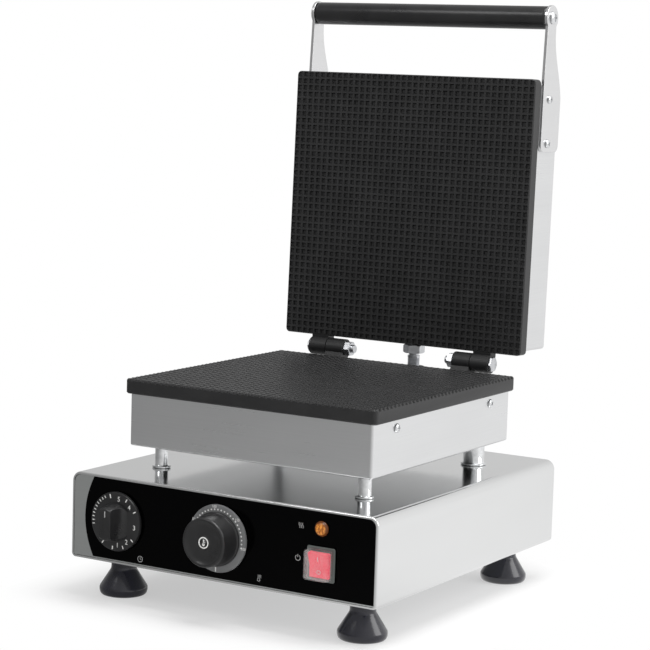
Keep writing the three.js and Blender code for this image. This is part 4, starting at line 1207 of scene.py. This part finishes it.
def make_timer_knob():
    centre = (timer_centre[0], front, timer_centre[1])
    dial = turned("timer_dial_and_bar", [
        (0, timer_dial_back), (timer_dial_radius - 0.4, timer_dial_back),
        (timer_dial_radius, timer_dial_back + 0.4), (timer_dial_radius, timer_dial_front - 1.4),
        (timer_dial_radius - 0.5, timer_dial_front - 0.4),
        (timer_dial_radius - 1.5, timer_dial_front), (0, timer_dial_front)], centre, "-Y", 120)
    hub = turned("hub", [
        (0, timer_dial_front - 1), (hub_radius, timer_dial_front - 1), (hub_radius, timer_dial_front),
        (14.9, timer_reach - 2.2), (14.3, timer_reach - 1.0), (13.2, timer_reach - 0.3),
        (12.0, timer_reach), (0, timer_reach)], centre, "-Y", 96)
    far = timer_dial_front - 0.9
    flare = bezier((bar_half, timer_reach + 1), (bar_half + 0.4, far), (hub_radius + 1, far), 14)
    curve = [(across * mm, front - reach * mm) for across, reach in flare]
    outline = curve + [(-x, y) for x, y in reversed(curve)]
    tall = (hub_radius + 2) * mm
    rings = [[(timer_centre[0] + x, y, timer_centre[1] + z) for x, y in outline] for z in (-tall, tall)]
    carve(hub, loft("flare", rings), "INTERSECT")
    soften(hub, 0.7, 3, 35)
    carve(dial, hub, "UNION")
    finish_piece(dial, knob_black, "timer_knob", ["timer_knob"], smooth=35)


make_timer_knob()
print("timer knob reaches", round(timer_reach, 1), "mm")

# %% Timer scale
def draw_timer_scale(work):
    face = front - timer_dial_front * mm
    for degrees in (-100, -92, -84, -76, -68, -60, -52, -44, -36, -28):
        tick(work, timer_centre, face, degrees, 22.9, 25.3, 0.75)
    for degrees in (30, 62, 128, 158, 186, 214):
        tick(work, timer_centre, face, degrees, 22.2, 25.3, 0.95)
    tick(work, timer_centre, face, -14, 21.6, 25.3, 1.2)
    for text, degrees in (("5", 10), ("4", 46), ("3", 98), ("2", 143), ("1", 172)):
        numeral(work, text, on_dial(timer_centre, 21.2, degrees), 6.2, face)


def draw_bar_line(work):
    face = front - timer_reach * mm
    tick(work, timer_centre, face, 0, 6.5, 12.0, 1.0)


ink_piece("timer_scale", draw_timer_scale, print_white, "timer_knob")
ink_piece("timer_pointer", draw_bar_line, print_grey, "timer_knob")
print("timer marks", pieces_made[-2:])

# %% [markdown]
# ## Thermostat
#
# The scale ring and the knob turn together. The knob is a shallow cone with a turned rim, a dished
# face and a raised button with a small sign of a thermometer.

# %% Thermostat dial and knob
dial_low, dial_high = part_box("thermostat_dial")
knob_low, knob_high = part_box("thermostat_knob")
heat_centre = ((dial_low.x + dial_high.x) / 2, (dial_low.z + dial_high.z) / 2)
dial_radius = (dial_high.x - dial_low.x) / 2 / mm
dial_front = (front - dial_low.y) / mm
dial_back = (front - dial_high.y) / mm
knob_reach = (front - knob_low.y) / mm


def make_thermostat():
    centre = (heat_centre[0], front, heat_centre[1])
    ring = turned("thermostat_scale_ring", [
        (9.0, dial_back), (dial_radius - 0.4, dial_back), (dial_radius, dial_back + 0.4),
        (dial_radius, dial_front - 1.0), (dial_radius - 0.3, dial_front - 0.3),
        (dial_radius - 1.0, dial_front), (9.0, dial_front), (9.0, dial_back)], centre, "-Y", 144)
    finish_piece(ring, ring_silver, "thermostat_knob", ["thermostat_dial"], smooth=35)
    seat_at = dial_front + 0.2
    reach = knob_reach
    knob = turned("thermostat_turned_knob", [
        (0, dial_back), (8.8, dial_back), (8.8, seat_at), (23.4, seat_at), (23.9, seat_at + 0.4),
        (24.0, seat_at + 1.0), (24.0, seat_at + 2.6), (23.6, seat_at + 3.1), (23.0, seat_at + 3.3),
        (22.8, seat_at + 3.8), (21.9, reach - 2.4), (21.6, reach - 1.0), (21.0, reach - 0.3),
        (20.2, reach), (19.4, reach - 0.1), (18.7, reach - 0.6), (16.5, reach - 1.9),
        (14.5, reach - 2.4), (6.4, reach - 2.4), (6.0, reach - 2.2), (5.6, reach - 1.5),
        (5.2, reach - 1.2), (0, reach - 1.2)], centre, "-Y", 144)
    finish_piece(knob, knob_black, "thermostat_knob", ["thermostat_knob"], smooth=35)


make_thermostat()
print("thermostat", pieces_made[-2:])

# %% Thermostat scale and sign
def draw_heat_scale(work):
    face = front - dial_front * mm
    for step in range(22):
        dot(work, on_dial(heat_centre, 25.9, -60 + step * 7.65), face, 0.8)
    for text, degrees in (("50", -60), ("100", -7), ("150", 47), ("200", 101)):
        numeral(work, text, on_dial(heat_centre, 28.3, degrees), 3.4, face)
    tick(work, heat_centre, face, 181, 25.2, 29.2, 1.1)
    tick(work, heat_centre, face, 205, 25.6, 28.6, 0.9)


def draw_emblem(work):
    face = front - (knob_reach - 1.2) * mm
    line(work, arc(heat_centre, 4.6, 0, 360, 40), 1.1, face)
    middle = (heat_centre[0], heat_centre[1] - 1.5 * mm)
    dot(work, middle, face, 1.4, 20)
    line(work, [middle, (middle[0], middle[1] + 4.4 * mm)], 1.1, face)
    for rise in (2.1, 3.4):
        start = (middle[0] + 0.8 * mm, middle[1] + rise * mm)
        line(work, [start, (start[0] + 1.0 * mm, start[1])], 0.5, face)


ink_piece("thermostat_scale", draw_heat_scale, print_white, "thermostat_knob")
ink_piece("thermostat_sign", draw_emblem, print_white, "thermostat_knob")
print("thermostat marks", pieces_made[-2:])

# %% [markdown]
# ## Lamp and switch
#
# The lamp has a domed amber lens with a moulded flange. Its facets are cast on the inside, so they
# show as a cloudy pattern in the colour and a slight unevenness of the surface. The switch has a red
# rocker with a light inside, under a clear soft boot that keeps batter and water out, held by a smoky
# frame.

# %% Lamp
lens_low, lens_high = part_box("lamp_lens")
lamp_centre = ((lens_low.x + lens_high.x) / 2, (lens_low.z + lens_high.z) / 2)
lens_reach = (front - lens_low.y) / mm


def jewel(name, bright, deep, rim_dark):
    """A cast lens: cloudy facets round a bright middle, and a darker rim."""
    finish = Finish(name, {"Roughness": 0.14, "Emission Strength": 0.12})
    facets = finish.noise((520, 520, 520), 1)
    share = finish.ramp(facets, (0.40, 0.0), (0.60, 1.0))
    middle = (lamp_centre[0], 0, lamp_centre[1])
    offset = finish.vector("SUBTRACT", finish.place((1, 0, 1)), middle)
    distance = finish.vector("LENGTH", offset, output="Value")
    rim = finish.ramp(distance / (10 * mm), (0.42, 0.0), (0.56, 1.0))
    colour = finish.tint(rim, finish.tint(share, deep, bright), rim_dark)
    return finish.use(colour=colour, glow=colour, normal=finish.bump(facets, 0.0004))


lens_amber = jewel("amber_lens", (0.70, 0.27, 0.04), (0.30, 0.085, 0.01), (0.13, 0.04, 0.01))


def make_lens():
    centre = (lamp_centre[0], front, lamp_centre[1])
    dome = []
    for step in range(9):
        angle = step / 8 * math.pi / 2
        dome.append((5.6 * math.cos(angle) if step < 8 else 0,
                     1.9 + (lens_reach - 1.9) * math.sin(angle)))
    lens = turned("lamp_dome", [(0, -5), (3.8, -5), (3.8, 0.2), (6.4, 0.2), (6.6, 0.5), (6.6, 1.3),
                                (6.2, 1.8), (5.8, 1.7)] + dome, centre, "-Y", 64)
    finish_piece(lens, lens_amber, "base", ["lamp_lens"], smooth=40)


make_lens()
make_softened("lamp_housing", body_black, "base", 0.2)
print("lamp", pieces_made[-2:])

# %% Switch
rocker_joint = joints["power_rocker"]
pivot = Vector(rocker_joint["pos_m"])
rocker_rest = math.radians(10)


def draw_rocker_signs(work):
    line(work, [(pivot.x, pivot.z + 4.0 * mm), (pivot.x, pivot.z + 8.0 * mm)], 0.6, pivot.y - 4.2 * mm)
    line(work, arc((pivot.x, pivot.z - 5.8 * mm), 1.7, 0, 360, 28), 0.5, pivot.y - 4.2 * mm)


rocker_turn = (Matrix.Translation(pivot) @ Matrix.Rotation(rocker_rest, 4, "X")
               @ Matrix.Translation(-pivot))
make_softened("switch_housing", bezel_grey, "base", 0.5, 3)
make_softened("switch_boot", boot_clear, "base", 0.8, 4)
make_softened("switch_rocker", rocker_red, "rocker", 0.5, 3, 8)
ink_piece("rocker_signs", draw_rocker_signs, print_grey, "rocker", rocker_turn)
print("switch", pieces_made[-4:])

# %% [markdown]
# ## Signs on the overlay
#
# Each control has a small plain sign beside it: a clock for the timer, a thermometer for the
# thermostat, rising heat for the lamp and the usual power sign for the switch.

# %% Overlay signs
overlay_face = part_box("control_overlay")[0].y


def clock_sign(work, x, z):
    line(work, arc((x, z), 2.6, 0, 360, 32), 0.45, overlay_face)
    line(work, [(x, z + 1.7 * mm), (x, z), (x + 1.3 * mm, z - 0.7 * mm)], 0.4, overlay_face)


def thermometer_sign(work, x, z):
    line(work, arc((x, z - 1.6 * mm), 1.3, 28, 332, 24), 0.45, overlay_face)
    for side in (-1, 1):
        line(work, [(x + side * 0.62 * mm, z - 0.5 * mm), (x + side * 0.62 * mm, z + 2.8 * mm)], 0.4,
             overlay_face)
    for rise in (0.4, 1.5, 2.6):
        line(work, [(x + 1.4 * mm, z + rise * mm), (x + 2.6 * mm, z + rise * mm)], 0.35, overlay_face)


def heat_sign(work, x, z):
    for shift in (-1.7, 0.0, 1.7):
        points = []
        for step in range(13):
            t = step / 12
            sway = 0.55 * math.sin(2 * math.pi * t)
            points.append((x + (shift + sway) * mm, z + (t * 4.6 - 2.3) * mm))
        line(work, points, 0.45, overlay_face)


def power_sign(work, x, z):
    line(work, arc((x, z), 2.4, 35, 325, 28), 0.5, overlay_face)
    line(work, [(x, z + 0.4 * mm), (x, z + 3.0 * mm)], 0.5, overlay_face)


def draw_signs(work):
    clock_sign(work, timer_centre[0] + 25 * mm, timer_centre[1] - 31 * mm)
    thermometer_sign(work, heat_centre[0] + 42 * mm, heat_centre[1] - 29 * mm)
    heat_sign(work, lamp_centre[0] - 21 * mm, lamp_centre[1])
    power_sign(work, pivot.x - 24 * mm, pivot.z + 2 * mm)


ink_piece("overlay_signs", draw_signs, print_grey, "base")

# %% [markdown]
# ## Inside and behind
#
# These parts are seen only when the lid is lifted off or the base is turned over, but each one has
# its own finish: heat-tinted elements, mineral wool, ceramic, copper and plain mouldings.

# %% Inner finishes
def fibrous(name, tone):
    finish = Finish(name, {"Roughness": 1.0})
    lumps = finish.noise((120, 120, 120), 5)
    hair = finish.noise((1400, 90, 90), 3)
    dark = tuple(part * 0.6 for part in tone)
    return finish.use(colour=finish.tint(lumps * 0.6 + hair * 0.4, dark, tone),
                      normal=finish.bump(lumps + hair * 0.5, 0.0012))


element_steel = plated("heat_tinted_element", (0.34, 0.27, 0.21), 0.42, 0.2)
copper = plated("drawn_copper", (0.72, 0.40, 0.24), 0.28, 0.16)
wool = fibrous("mineral_wool", (0.62, 0.57, 0.44))
ceramic = printed("glazed_ceramic", (0.74, 0.70, 0.60))
for plate in ("lower", "upper"):
    finish_node(plate + "_heater", element_steel)
    finish_node(plate + "_heater_clamp", dull_sheet)
    finish_node(plate + "_insulation", wool)
finish_node("timer_body", body_black)
finish_node("thermostat_body", dull_sheet)
finish_node("capillary_and_bulb", copper)
finish_node("terminal_block", ceramic)
make_softened("cable_gland", body_black, "base", 0.5, 3)
make_softened("cable_gland_nut", body_black, "base", 0.4, 2)
print("inner finishes done")

# %% [markdown] ## Count the pieces

# %% Number of pieces
print("pieces", len(pieces_made))
